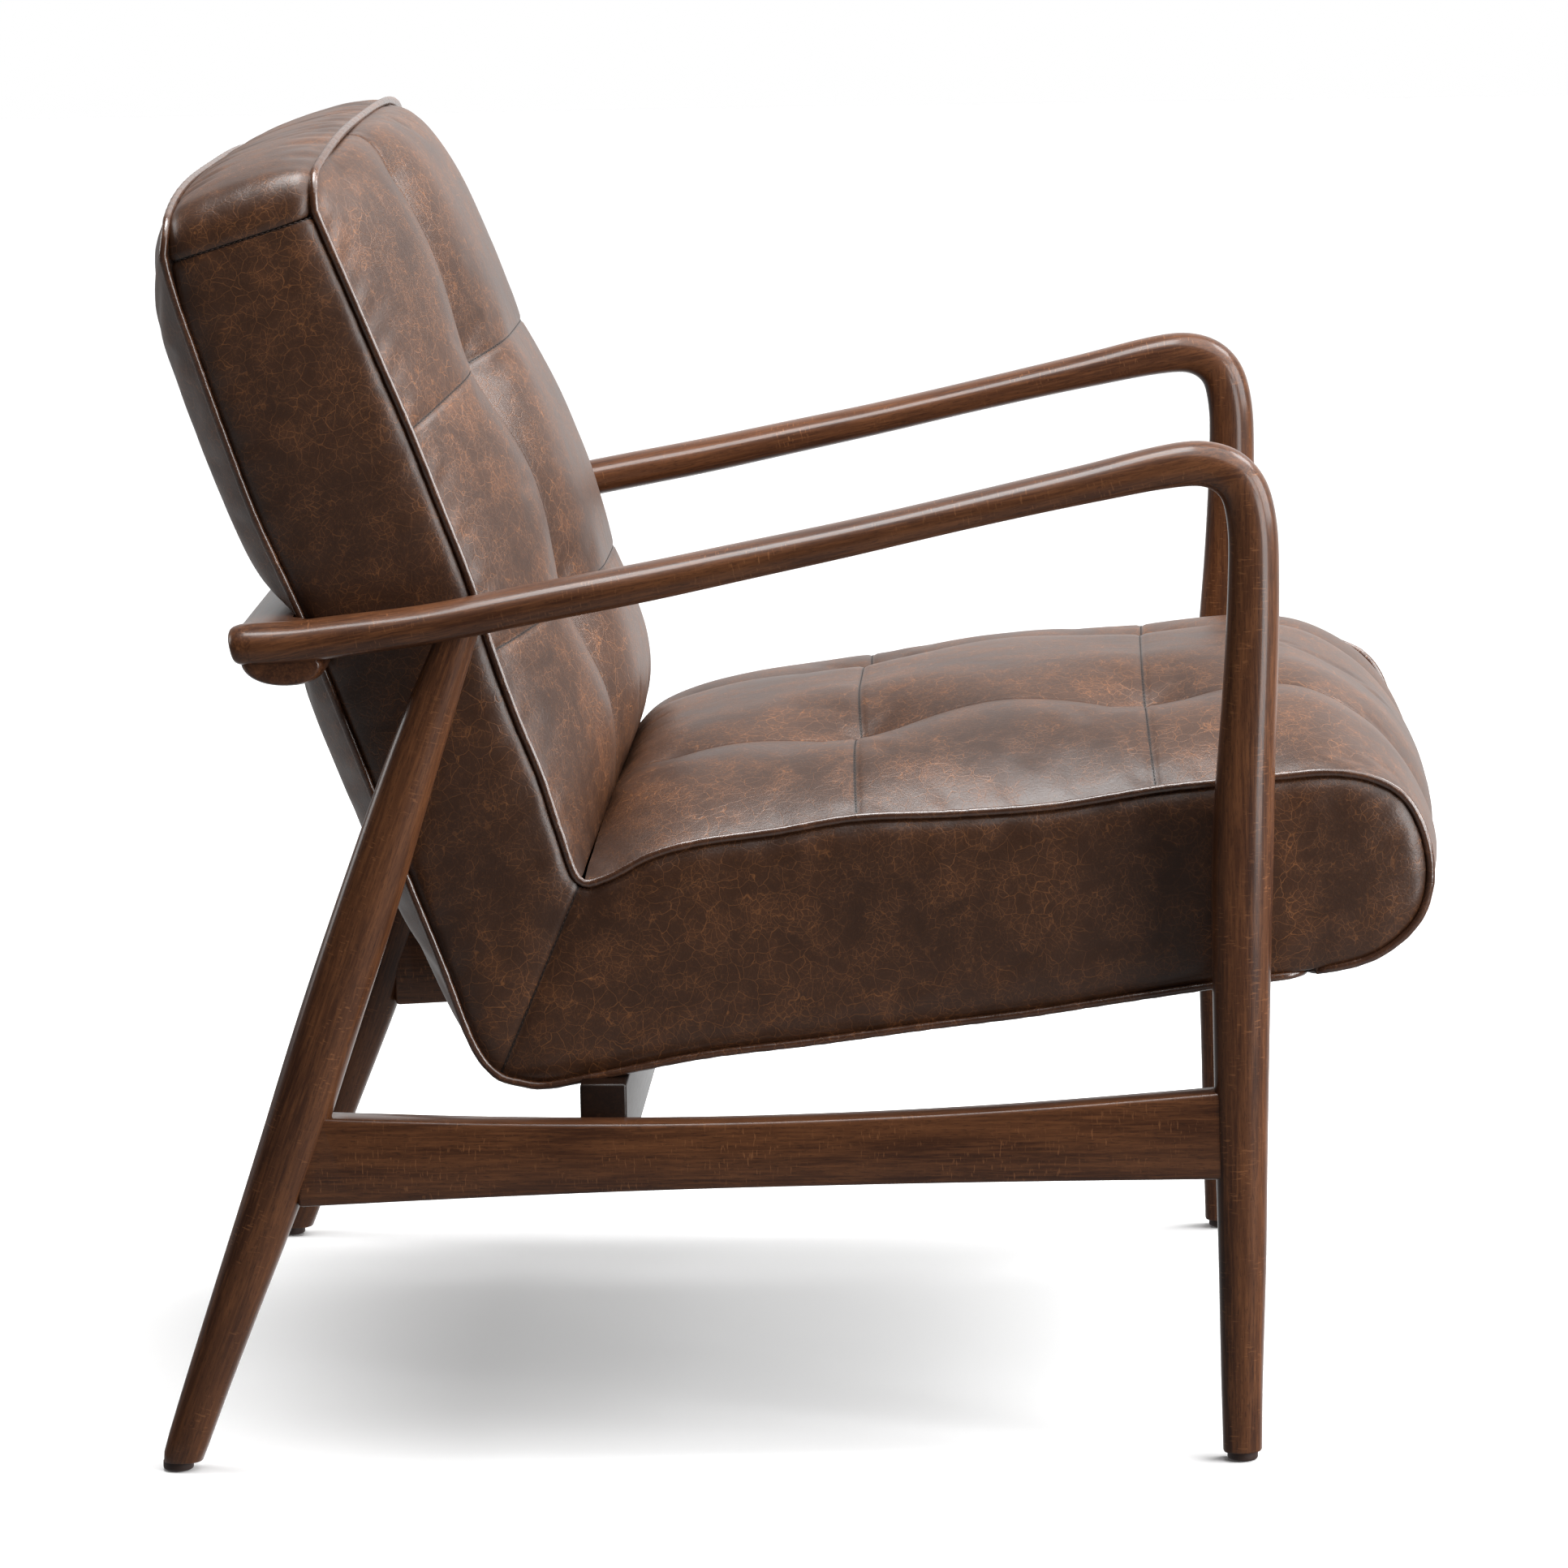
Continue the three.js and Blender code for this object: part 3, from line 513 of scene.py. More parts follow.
RAIL_HALF = 0.340
BELLY_HALF = 0.3455
LIP_SECTION = [(282, 514), (281.5, 521), (278, 527), (271, 530), (258, 530.5), (244, 530.5), (233, 528),
               (226, 521), (223.5, 512), (225, 505.5), (234, 503), (256, 503), (272, 505), (280, 507.5)]
BELLY_SECTION = [(277, 509), (270, 513), (250, 514), (232, 513), (224.5, 509), (223.5, 503), (227, 497),
                 (235, 493), (247, 491.5), (260, 492.5), (270, 496.5), (276, 502.5)]
RAIL_ENDS = [(0, 0.80), (0.8, 0.87), (3, 0.93), (6.5, 0.975), (12, 0.995), (18, 1.0)]
RAIL_NOTCH_FRONT = 0.247 + MIDDLE
RAIL_NOTCH_HALF = 0.306
RAIL_MIDDLE = 0.250 + MIDDLE


def rail_bar(name, section, half, middle_z):
    """A bar across the chair with the given section, drawn in a little at its two ends."""
    bpy.ops.mesh.primitive_circle_add(vertices=len(section), radius=0.03, fill_type="NGON")
    bar = bpy.context.object
    bar.name = name
    for point, (y, z) in zip(bar.data.vertices, section):
        point.co = (-half, y / 1000 + MIDDLE, z / 1000)
    bpy.ops.object.mode_set(mode="EDIT")
    bpy.ops.mesh.select_all(action="SELECT")
    size = RAIL_ENDS[0][1]
    bpy.ops.transform.resize(value=(1, size, size), center_override=(-half, RAIL_MIDDLE, middle_z))
    before = -half
    stops = [(-half + inset / 1000, scale) for inset, scale in RAIL_ENDS]
    for x, scale in stops[1:] + [(-x, scale) for x, scale in reversed(stops)]:
        bpy.ops.mesh.extrude_region_move(TRANSFORM_OT_translate={"value": (x - before, 0, 0)})
        bpy.ops.transform.resize(value=(1, scale / size, scale / size),
                                 center_override=(x, RAIL_MIDDLE, middle_z))
        before, size = x, scale
    bpy.ops.mesh.select_all(action="SELECT")
    bpy.ops.mesh.normals_make_consistent(inside=False)
    bpy.ops.object.mode_set(mode="OBJECT")
    return modify(bar, "SUBSURF", levels=2, render_levels=2)


def block(low, high):
    """A box from its lowest to its highest corner."""
    bpy.ops.mesh.primitive_cube_add(size=1, location=(Vector(low) + Vector(high)) / 2,
                                    scale=Vector(high) - Vector(low))
    return settle(bpy.context.object)


rail = rail_bar("back_rail_piece", LIP_SECTION, RAIL_HALF, 0.5175)
belly = rail_bar("rail_belly", BELLY_SECTION, BELLY_HALF, 0.506)
modify(rail, "BOOLEAN", operation="UNION", solver="EXACT", object=belly)
notch = block((-RAIL_NOTCH_HALF, RAIL_NOTCH_FRONT - 0.1, 0.45), (RAIL_NOTCH_HALF, RAIL_NOTCH_FRONT, 0.55))
cut_by(rail, notch, arms["right"], arms["left"])
for nose in noses:
    modify(rail, "BOOLEAN", operation="UNION", solver="EXACT", object=nose)
for cutter in [belly, notch] + noses:
    bpy.data.objects.remove(cutter)
smooth(rail)
rail_wood = stained_beech("rail_wood", 0.0, 1.0, math.pi / 2)
wear_finish(rail, rail_wood)
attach(rail, "root")
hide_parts("back_rail")

# ---- Cross rail ------------------------------------------------
# A plain rail between the two stretchers carries the heel of the upholstered shell. Its
# colour is darkened to near black as painted shade, for the shade under the seat, and it is tenoned into
# the stretchers.

cross_low, cross_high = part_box("cross_rail")
CROSS_HALF, CROSS_UNDER, CROSS_TOP = 0.3193, 0.186, 0.238
cross = block((-CROSS_HALF, cross_low.y, CROSS_UNDER), (CROSS_HALF, cross_high.y, CROSS_TOP))
cross.name = "cross_rail_piece"
modify(cross, "BEVEL", width=0.002, segments=3, limit_method="ANGLE")
smooth(cross)
# Depth 0.12 mixes the wood mostly to near-black: painted shade for the shade under the seat.
wear_finish(cross, stained_beech("cross_rail_painted_shade_wood", 0.0, 0.12, math.pi / 2))
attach(cross, "root")
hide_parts("cross_rail")

# ---- Glides ----------------------------------------------------
# A dark brown nylon disc is nailed under each foot, with a rounded lower rim.

glide_plastic, shader = finish_named("glide_plastic")
specks = noise(on_piece(), 900, 3)
Shade.feed(shader, "Base Color", mixed(specks, tint(36, 20, 14), tint(54, 32, 23)))
Shade.feed(shader, "Roughness", 0.45 + 0.2 * specks)
Shade.feed(shader, "Normal", bump(specks, 0.15, 0.0003))

RIM_ROUND = 0.0018

for place in ("front", "rear"):
    for name, side in SIDES:
        low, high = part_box("glide_%s_%s" % (place, name))
        bpy.ops.mesh.primitive_cylinder_add(vertices=48, radius=(high.x - low.x) / 2,
                                            depth=high.z - low.z, location=(low + high) / 2)
        disc = settle(bpy.context.object)
        disc.name = "glide_%s_piece_%s" % (place, name)
        bpy.ops.object.mode_set(mode="EDIT")
        bpy.ops.mesh.select_all(action="DESELECT")
        bpy.ops.object.mode_set(mode="OBJECT")
        for edge in disc.data.edges:
            edge.select = all(disc.data.vertices[end].co.z < low.z + 0.0001 for end in edge.vertices)
        bpy.ops.object.mode_set(mode="EDIT")
        bpy.ops.mesh.select_mode(type="EDGE")
        bpy.ops.mesh.bevel(offset=RIM_ROUND, segments=4)
        bpy.ops.mesh.select_mode(type="VERT")
        bpy.ops.object.mode_set(mode="OBJECT")
        smooth(disc, 50)
        wear_finish(disc, glide_plastic)
        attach(disc, "root")
        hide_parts("glide_%s_%s" % (place, name))

# ---- Back cushion ----------------------------------------------
# The front of the back: leather over foam, sewn from nine panels and pulled in at four
# tufts. The cover ends at the piping at the top and sides and tucks in above the seat.

PIPING_X, COVER_X, SEAM_X, CORNER = 0.298, 0.2965, 0.130, 0.014

BACK_EDGE = [(229, 798), (230.5, 789), (227, 776), (206, 724), (190, 684), (173, 642),
             (156, 596), (140, 552), (126, 505), (112, 464), (98, 428), (87, 392), (75, 359)]
BACK_FULL = [(224, 816), (208, 818), (190, 806), (169, 775), (148, 728), (127, 678),
             (107, 634), (86, 580), (69, 527), (57, 490), (50, 462), (49, 435), (60, 398)]
BACK_MARKS = (0, 5, 8, 12)
BACK_ROWS = (34, 30, 26)
BACK_DEPTHS = dict(long=0.011, cross=0.0015, tuft=0.014, tuft_width=0.085, fullness=2.7)
COLUMNS = (33, 50, 33)
TOP_FULLNESS = 3.4
SEAM_DEEP = 0.0010
LONG_WIDE, CROSS_WIDE = 0.062, 0.058      # how far from a seam its valley reaches
COVER_THICK, PANEL_THICK = 0.010, 0.004
BACK_ROW_HIGH = 0.0052


def length_along(line):
    """How far each point of a line lies from its start, measured along it."""
    return np.concatenate([[0], np.cumsum(np.linalg.norm(np.diff(line, axis=0), axis=1))])


def run(points, marks, at):
    """Points on a line; at counts marks, and each stretch between two marks is evenly paced."""
    fine = np.linspace(0, len(points) - 1, 60 * (len(points) - 1) + 1)
    line = through(points, fine)
    length = length_along(line)
    paced = np.interp(at, range(len(marks)), np.interp(marks, fine, length))
    return through(points, np.interp(paced, length, fine))


def fullness(x, power=TOP_FULLNESS):
    """How far the padding is blown out across the chair: 1 in the middle, 0 at its sides."""
    return 1 - np.clip(np.abs(x) / COVER_X, 0, 1) ** power


def steps_to(counts, values):
    """Turns a share of a row of quads into values that change at the row's seams."""
    ends = np.concatenate([[0], np.cumsum(counts)]) / sum(counts)
    return lambda share: np.interp(share, ends, values)


def dip(distance, width, depth):
    return depth * np.clip(1 - distance / width, 0, 1) ** 1.8


def gathered(distance, reach):
    """How strongly leather ripples at a distance from its piping: most a little way in."""
    return np.exp(-distance / reach) * (1 - np.exp(-distance / 0.003))


def ripple(x, t, size):
    """Small uneven waves, as leather has where it is gathered along a seam."""
    return size * (np.sin(173 * x + 61 * t + 1.3) * np.sin(97 * t - 41 * x)
                   + 0.6 * np.sin(311 * t + 119 * x + 0.7) * np.sin(67 * x + 1.9))


def outward(way):
    """The direction square to a line's own, for each of its points."""
    way = way / np.linalg.norm(way, axis=1)[:, None]
    return np.stack([way[:, 1], -way[:, 0]], axis=1)


def front_face(edge, full, marks, rows, depths, u, v):
    """Points of a tufted front: u runs across the chair, v up or back along its outline."""
    x = steps_to(COLUMNS, (-COVER_X, -SEAM_X, SEAM_X, COVER_X))(u)
    at = steps_to(rows[::-1], range(len(marks) - 1, -1, -1))(v)
    share = fullness(x, depths["fullness"])[:, None]
    line_edge, line_full = run(edge, marks, at), run(full, marks, at)
    spot = (line_edge + (line_full - line_edge) * share) / 1000
    step = 0.01
    ahead = run(edge, marks, at + step) * (1 - share) + run(full, marks, at + step) * share
    behind = run(edge, marks, at - step) * (1 - share) + run(full, marks, at - step) * share
    out = outward(ahead - behind)
    places = np.linspace(0, len(marks) - 1, 400)
    lengths = length_along(run(full, marks, places) / 1000)
    reach = np.interp(at, places, lengths)
    seams = [np.interp(mark, places, lengths) for mark in (1, 2)]
    to_long = np.abs(np.abs(x) - SEAM_X)
    to_cross = np.minimum(np.abs(reach - seams[0]), np.abs(reach - seams[1]))
    to_tuft = np.hypot(to_long, to_cross)
    rim = np.clip((COVER_X - np.abs(x)) / 0.06, 0, 1)
    ends = np.clip(np.minimum(reach, lengths[-1] - reach) / 0.05, 0, 1)
    drop = dip(to_long, LONG_WIDE, depths["long"]) * ends
    drop = drop + dip(to_cross, CROSS_WIDE, depths["cross"]) * rim
    drop = drop + dip(to_tuft, depths["tuft_width"], depths["tuft"])
    lift = ripple(x, reach, 0.0011) * gathered(COVER_X - np.abs(x), 0.018) - drop
    return np.column_stack([x, spot + out * lift[:, None] + np.array([MIDDLE, 0])])


def round_corners(points, v, row_high, rows):
    """Draws the two top corners of a sheet in to a quarter circle."""
    corner_share = CORNER / row_high / rows
    beside = np.abs(points[:, 0]) - (COVER_X - CORNER)
    above = CORNER * (1 - (1 - v) / corner_share)
    both = (beside > 0) & (above > 0)
    shrink = np.maximum(beside, above) / np.maximum(np.hypot(beside, above), 1e-9)
    points[both, 0] = np.sign(points[both, 0]) * (COVER_X - CORNER + beside[both] * shrink[both])
    points[both, 2] -= (above * (1 - shrink))[both]
    return points


def points_of(piece, value="co"):
    """The places, or the normals, of all a piece's points."""
    numbers = np.empty(len(piece.data.vertices) * 3)
    piece.data.vertices.foreach_get(value, numbers)
    return numbers.reshape(-1, 3)


def put_points(piece, points):
    piece.data.vertices.foreach_set("co", points.ravel())
    piece.data.update()


def laid_sheet(name, across, along, lay):
    """A flat sheet of quads, laid over the padding, and each point's column and row in it."""
    bpy.ops.mesh.primitive_grid_add(x_subdivisions=across, y_subdivisions=along, size=2)
    sheet = bpy.context.object
    sheet.name = name
    u, v = (points_of(sheet)[:, :2].T + 1) / 2
    put_points(sheet, lay(u, v))
    return sheet, np.rint(u * across).astype(int), np.rint(v * along).astype(int)


def rim_of(column, row):
    """Which points lie on the outer edge of a sheet."""
    return np.isin(column, (0, column.max())) | np.isin(row, (0, row.max()))


def pad_out(sheet, held, pressure, most, growth):
    """Swells a sheet that is held along its seams, as the foam does, by at most a set amount."""
    rest = points_of(sheet)
    pins = sheet.vertex_groups.new(name="seams")
    pins.add([int(index) for index in np.flatnonzero(held)], 1.0, "REPLACE")
    cloth = sheet.modifiers.new("cloth", "CLOTH")
    cloth.settings.vertex_group_mass = "seams"
    cloth.settings.use_pressure = True
    cloth.settings.uniform_pressure_force = pressure
    cloth.settings.shrink_min = -growth
    cloth.settings.effector_weights.gravity = 0
    cloth.settings.quality = 6
    cloth.settings.bending_stiffness = 2.0
    cloth.collision_settings.use_collision = False
    cloth.point_cache.frame_end = 20
    scene = bpy.context.scene
    for frame_number in range(1, 21):
        scene.frame_set(frame_number)
    swollen = sheet.evaluated_get(bpy.context.evaluated_depsgraph_get())
    shift = points_of(swollen) - rest
    size = np.linalg.norm(shift, axis=1)[:, None]
    shift *= most * np.tanh(size / most) / np.maximum(size, 1e-9)
    sheet.modifiers.remove(cloth)
    sheet.vertex_groups.remove(pins)
    scene.frame_set(1)
    put_points(sheet, rest + shift)
    return sheet


def sew(sheet, depth):
    """Draws the points on the seams in along their normals, once the sheet is subdivided."""
    seam = np.empty(len(sheet.data.vertices))
    sheet.data.attributes["seam"].data.foreach_get("value", seam)
    seam = seam > 0.97           # midway between two seam points it stays near 1
    put_points(sheet, points_of(sheet) - points_of(sheet, "normal") * (depth * seam)[:, None])


def line_up(piece, wall, seams=None, depth=0.0):
    """Subdivides a laid sheet, draws its seams in and gives it its thickness, inwards."""
    if seams is not None:
        mark = piece.data.attributes.new("seam", "FLOAT", "POINT")
        mark.data.foreach_set("value", seams.astype(float))
    modify(piece, "SUBSURF", levels=1, render_levels=1)
    if seams is not None:
        sew(piece, depth)
    modify(piece, "SOLIDIFY", thickness=wall, offset=-1)
    smooth(piece, 60)
    return piece


def leather_finish(name, dark, middle, warm, scratch, shine, gloss=0.5):
    """Waxed pull-up leather: mottled brown, a net of paler creases and a fine pebble grain."""
    material, shader = finish_named(name)
    place = on_piece()
    drift = Shade(Shade.node("ShaderNodeTexNoise", Vector=place, Scale=38, Detail=3).outputs["Color"])
    bent = Shade.node("ShaderNodeVectorMath", {"operation": "MULTIPLY_ADD"})
    for key, value in enumerate((drift, (0.016, 0.016, 0.016), place)):
        Shade.feed(bent, key, value)
    bent = Shade(bent.outputs[0])

    def cracks(scale, width):
        cells = Shade.node("ShaderNodeTexVoronoi", {"feature": "DISTANCE_TO_EDGE"},
                           Vector=bent, Scale=scale)
        return 1 - Shade(cells.outputs["Distance"]).span(0.0, width)

    clouds = noise(place, 11, 4, 0.55, 0.3)
    blots = noise(place, 46, 5, 0.62, 0.6)
    grain = noise(place, 1300, 3, 0.55)
    pebble_cells = Shade.node("ShaderNodeTexVoronoi", {"feature": "SMOOTH_F1"}, Vector=bent, Scale=620)
    pebble = Shade(pebble_cells.outputs["Distance"])
    fine = cracks(230, 0.055) * blots.span(0.40, 0.62)
    broad = cracks(95, 0.022) * clouds.span(0.35, 0.6)
    streak = noise(bent, 210, 6, 0.74, 2.2).span(0.55, 0.70)
    mottled = mixed(clouds.span(0.34, 0.66) * 0.4 + blots.span(0.36, 0.7) * 0.35, dark, middle)
    warmed = mixed(blots.span(0.50, 0.76) * clouds.span(0.35, 0.7) * 0.34, mottled, warm)
    creased = mixed(fine * 0.28, warmed, scratch)
    netted = mixed(broad * 0.38, creased, scratch)
    worn = mixed(streak * 0.20, netted, scratch)
    seam = Shade(Shade.node("ShaderNodeAttribute", {"attribute_name": "seam"}).outputs["Fac"])
    # Painted shade: along the seams the colour is darkened to near black, standing in for the shade in the
    # seam grooves.
    seam_shaded = mixed(seam.span(0.80, 0.95) * 0.9, worn, tint(14, 7, 4))
    Shade.feed(shader, "Base Color", seam_shaded)
    Shade.feed(shader, "Roughness", shine + 0.10 * blots + 0.06 * grain)
    shader.inputs["Specular IOR Level"].default_value = gloss
    coarse = bump(clouds + 0.35 * blots, 0.16, 0.004)
    folds = bump(0.0 - (0.6 * fine + broad), 0.14, 0.0008, coarse)
    Shade.feed(shader, "Normal", bump(pebble + 0.4 * grain, 0.15, 0.0005, folds))
    return material


leather = leather_finish("leather", tint(54, 32, 19), tint(78, 48, 29), tint(108, 65, 35),
                         tint(162, 105, 60), 0.31)
piping_leather = leather_finish("piping_leather", tint(60, 36, 23), tint(84, 52, 34), tint(106, 64, 38),
                                tint(150, 98, 60), 0.17, 0.9)


def upholster(piece, slot, fill, *nodes):
    wear_finish(piece, piping_leather if slot == "piping" else leather)
    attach(piece, "root")
    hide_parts(*nodes)


seam_thread, shader = finish_named("seam_thread")
twist = noise(on_piece(), 2600, 2)
Shade.feed(shader, "Base Color", mixed(twist, tint(24, 13, 8), tint(58, 34, 22)))
Shade.feed(shader, "Roughness", 0.5 + 0.2 * twist)
Shade.feed(shader, "Normal", bump(twist, 0.3, 0.0002))

STITCH_EVERY, STITCH_LONG, THREAD_RADIUS = 0.0036, 0.0026, 0.00034


def drawn_path(name, path, closed):
    """A curve through points, as a cord or a row of stitches follows it."""
    bpy.ops.curve.primitive_nurbs_path_add()
    curve = bpy.context.object
    curve.name = name
    curve.data.splines.clear()
    spline = curve.data.splines.new("POLY")
    spline.points.add(len(path) - 1)
    for point, spot in zip(spline.points, path):
        point.co = (*spot, 1)
    spline.use_cyclic_u = closed
    spline.use_smooth = True
    curve.data.dimensions = "3D"
    curve.data.twist_mode = "MINIMUM"
    return curve


def seam_paths(sheet, lines, sink):
    """The lines of points along a sheet's seams, let in under its surface."""
    sunk = points_of(sheet) - points_of(sheet, "normal") * sink
    return [sunk[line] for line in lines]


def stitch(name, paths):
    """Rows of lock stitches along seams, one small thread loop copied along each seam."""
    rows = []
    for path in paths:
        bpy.ops.mesh.primitive_uv_sphere_add(segments=6, ring_count=5, radius=1,
                                             rotation=(0, math.pi / 2, 0))
        row = bpy.context.object
        row.scale = (THREAD_RADIUS, THREAD_RADIUS, STITCH_LONG / 2)
        row.name = name
        settle(row)
        curve = drawn_path("stitch_path", path, False)
        modify(row, "ARRAY", fit_type="FIT_CURVE", curve=curve, use_relative_offset=False,
               use_constant_offset=True, constant_offset_displace=(STITCH_EVERY, 0, 0))
        modify(row, "CURVE", object=curve, deform_axis="POS_X")
        bpy.data.objects.remove(curve)
        rows.append(row)
    bpy.ops.object.select_all(action="DESELECT")
    for row in rows:
        row.select_set(True)
    bpy.context.view_layer.objects.active = rows[0]
    bpy.ops.object.join()
    stitches = smooth(rows[0], 80)
    wear_finish(stitches, seam_thread)
    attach(stitches, "root")


def tufted_cushion(name, edge, full, marks, rows, depths, corners):
    across, along = sum(COLUMNS), sum(rows)

    def lay(u, v):
        points = front_face(edge, full, marks, rows, depths, u, v)
        return round_corners(points, v, BACK_ROW_HIGH, along) if corners else points

    cushion, column, row = laid_sheet(name, across, along, lay)
    lines = [np.flatnonzero(column == place) for place in (COLUMNS[0], COLUMNS[0] + COLUMNS[1])]
    lines += [np.flatnonzero(row == place) for place in (rows[2], rows[2] + rows[1])]
    seams = np.isin(np.arange(len(column)), np.concatenate(lines))
    pad_out(cushion, seams | rim_of(column, row), pressure=5.0, most=0.004, growth=0.002)
    stitch(name + "_stitches", seam_paths(cushion, lines, SEAM_DEEP - THREAD_RADIUS))
    return line_up(cushion, COVER_THICK, seams, SEAM_DEEP)


back = tufted_cushion("back_cushion", BACK_EDGE, BACK_FULL, BACK_MARKS, BACK_ROWS, BACK_DEPTHS, True)
upholster(back, "leather", 0.85, "back_cover", "back_foam")

# ---- Seat cushion ----------------------------------------------
# The top of the seat: nine leather panels over foam, with four tufts. The front row of
# panels wraps over the nose and ends under it, at the piping.

SEAT_EDGE = [(73, 357.5), (57, 362), (29, 376), (-2, 384), (-48, 390), (-98, 398),
             (-160, 400), (-221, 404), (-283, 413.5), (-322, 417.5), (-360, 421), (-390, 423),
             (-415, 419), (-435, 407), (-447, 383), (-449.5, 355), (-440, 330), (-414, 310), (-376, 301)]
SEAT_FULL = [(62, 395), (50, 410), (20, 422), (-15, 430.5), (-52, 437.5), (-93, 445),
             (-150, 453), (-208, 459), (-276, 464), (-322, 466), (-360, 465), (-386, 460),
             (-411, 446), (-432, 427), (-452, 395), (-463, 362), (-457, 330), (-428, 306), (-376, 299)]
SEAT_MARKS = (0, 5, 8, 18)
SEAT_ROWS = (25, 29, 53)
SEAT_DEPTHS = dict(long=0.0065, cross=0.001, tuft=0.018, tuft_width=0.095, fullness=3.4)

seat = tufted_cushion("seat_cushion", SEAT_EDGE, SEAT_FULL, SEAT_MARKS, SEAT_ROWS, SEAT_DEPTHS, False)
upholster(seat, "leather", 0.9, "seat_cover", "seat_foam")

# ---- Side panels -----------------------------------------------
# One leather side on each hand, sewn from a back part and a seat part that meet in a
# mitre. It is stretched over a thin foam, so it stands a little proud of its piping.

SIDE_FRONT = [(227.5, 776)] + BACK_EDGE[3:12] + [(75, 358.5)] + SEAT_EDGE[1:]
SIDE_FRONT_MARKS = (0, 10, 15, 18, 20, 28)
REAR_EDGE = [(287, 647), (267, 590), (240, 527), (211, 450), (180, 366), (159, 310), (142, 262)]
UNDER_EDGE = [(97, 235), (64, 241), (0, 253), (-70, 261), (-140, 270), (-200, 277), (-248, 284),
              (-290, 290), (-330, 295.5)]
SIDE_REAR = [(316, 749), (309, 715), (299, 683)] + REAR_EDGE + [(126, 240.5)] + UNDER_EDGE + [(-376, 301)]
SIDE_REAR_MARKS = (0, 10, 14, 16, 18, 20)
SIDE_ROWS = (88, 33, 30, 12, 52)
SIDE_ACROSS = 26
MITRE = ((75, 358.5), (126, 240.5))
MITRE_WIDE, MITRE_DEEP = 0.022, 0.0028


def to_line(points, line):
    """The distance from each point to a line of points."""
    nearest = np.full(len(points), 1e9)
    for start, end in zip(line[:-1], line[1:]):
        way = end - start
        share = np.clip(((points - start) @ way) / max(way @ way, 1e-12), 0, 1)[:, None]
        nearest = np.minimum(nearest, np.linalg.norm(points - start - share * way, axis=1))
    return nearest


def round_up(distance, radius, height):
    part = np.clip(distance / radius, 0, 1)
    return height * np.sqrt(np.clip(1 - (1 - part) ** 2, 0, 1))


def side_bulge(distance):
    return round_up(distance, 0.020, 0.0045) + round_up(distance, 0.060, 0.0045)


def lay_side(side):
    def lay(u, v):
        across = 1 - u if side < 0 else u
        at = steps_to(SIDE_ROWS[::-1], range(5, -1, -1))(v)
        front = run(SIDE_FRONT, SIDE_FRONT_MARKS, at)
        rear = run(SIDE_REAR, SIDE_REAR_MARKS, at)
        spot = front + (rear - front) * across[:, None]
        places = np.linspace(0, 5, 160)
        rim = np.minimum(to_line(spot, run(SIDE_FRONT, SIDE_FRONT_MARKS, places)),
                         to_line(spot, run(SIDE_REAR, SIDE_REAR_MARKS, places))) / 1000
        mitre = to_line(spot, np.array(MITRE, float)) / 1000
        out = side_bulge(rim) - dip(mitre, MITRE_WIDE, MITRE_DEEP) * np.clip(rim / 0.01, 0, 1)
        out = out + ripple(spot[:, 0] / 1000, spot[:, 1] / 1000, 0.0010) * gathered(rim, 0.016)
        x = side * (COVER_X + out)
        return np.column_stack([x, spot / 1000 + np.array([MIDDLE, 0])])
    return lay


for name, side in SIDES:
    panel, column, row = laid_sheet("side_panel_" + name, SIDE_ACROSS, sum(SIDE_ROWS), lay_side(side))
    mitre = row == sum(SIDE_ROWS[1:])
    pad_out(panel, rim_of(column, row) | mitre, pressure=3.0, most=0.0025, growth=0.006)
    top_seam = row == sum(SIDE_ROWS)
    lines = [np.flatnonzero(mitre), np.flatnonzero(top_seam)]
    stitch("side_stitches_" + name, seam_paths(panel, lines, SEAM_DEEP - THREAD_RADIUS))
    line_up(panel, PANEL_THICK, mitre | top_seam, SEAM_DEEP)
    upholster(panel, "leather", 0.8, "side_boxing_" + name)

# ---- Top panel -------------------------------------------------
# One strip of leather over the top of the back. It turns down over both corners and is
# seamed to the side panels a little below them.

TOP_FRONT, TOP_REAR = (229, 798), (317, 771)
TOP_FRONT_FULL, TOP_REAR_FULL = (224, 816), (322, 785)
TOP_ALONG, TOP_ACROSS = 18, 128
TOP_DEEP, SIDE_SEAM_DROP = 0.095, 0.022


def lay_top(u, v):
    bend = CORNER * math.pi / 2
    side_run = SIDE_SEAM_DROP - CORNER
    width = 2 * (COVER_X - CORNER)
    far = u * (2 * (side_run + bend) + width) - side_run - bend - width / 2
    past = np.abs(far) - width / 2
    angle = np.clip(past / CORNER, 0, math.pi / 2)
    sign = np.sign(far)
    x = np.where(past <= 0, far, sign * (COVER_X - CORNER + CORNER * np.sin(angle)))
    drop = CORNER * (1 - np.cos(angle)) + np.clip(past - bend, 0, None)
    share = fullness(x)[:, None]
    front = np.array(TOP_FRONT) + (np.array(TOP_FRONT_FULL) - TOP_FRONT) * share
    rear = np.array(TOP_REAR) + (np.array(TOP_REAR_FULL) - TOP_REAR) * share
    spot = (front + (rear - front) * v[:, None]) / 1000
    rim = np.minimum(v, 1 - v) * TOP_DEEP
    out = side_bulge(rim) * (1 - 0.25 * share[:, 0])
    out = out + ripple(x, spot[:, 0], 0.0009) * gathered(rim, 0.016)
    normal_x = sign * np.sin(angle)
    normal_z = np.cos(angle)
    return np.column_stack([x + out * normal_x,
                            spot[:, 0] + out * normal_z * 0.25 + MIDDLE,
                            spot[:, 1] - drop + out * normal_z])


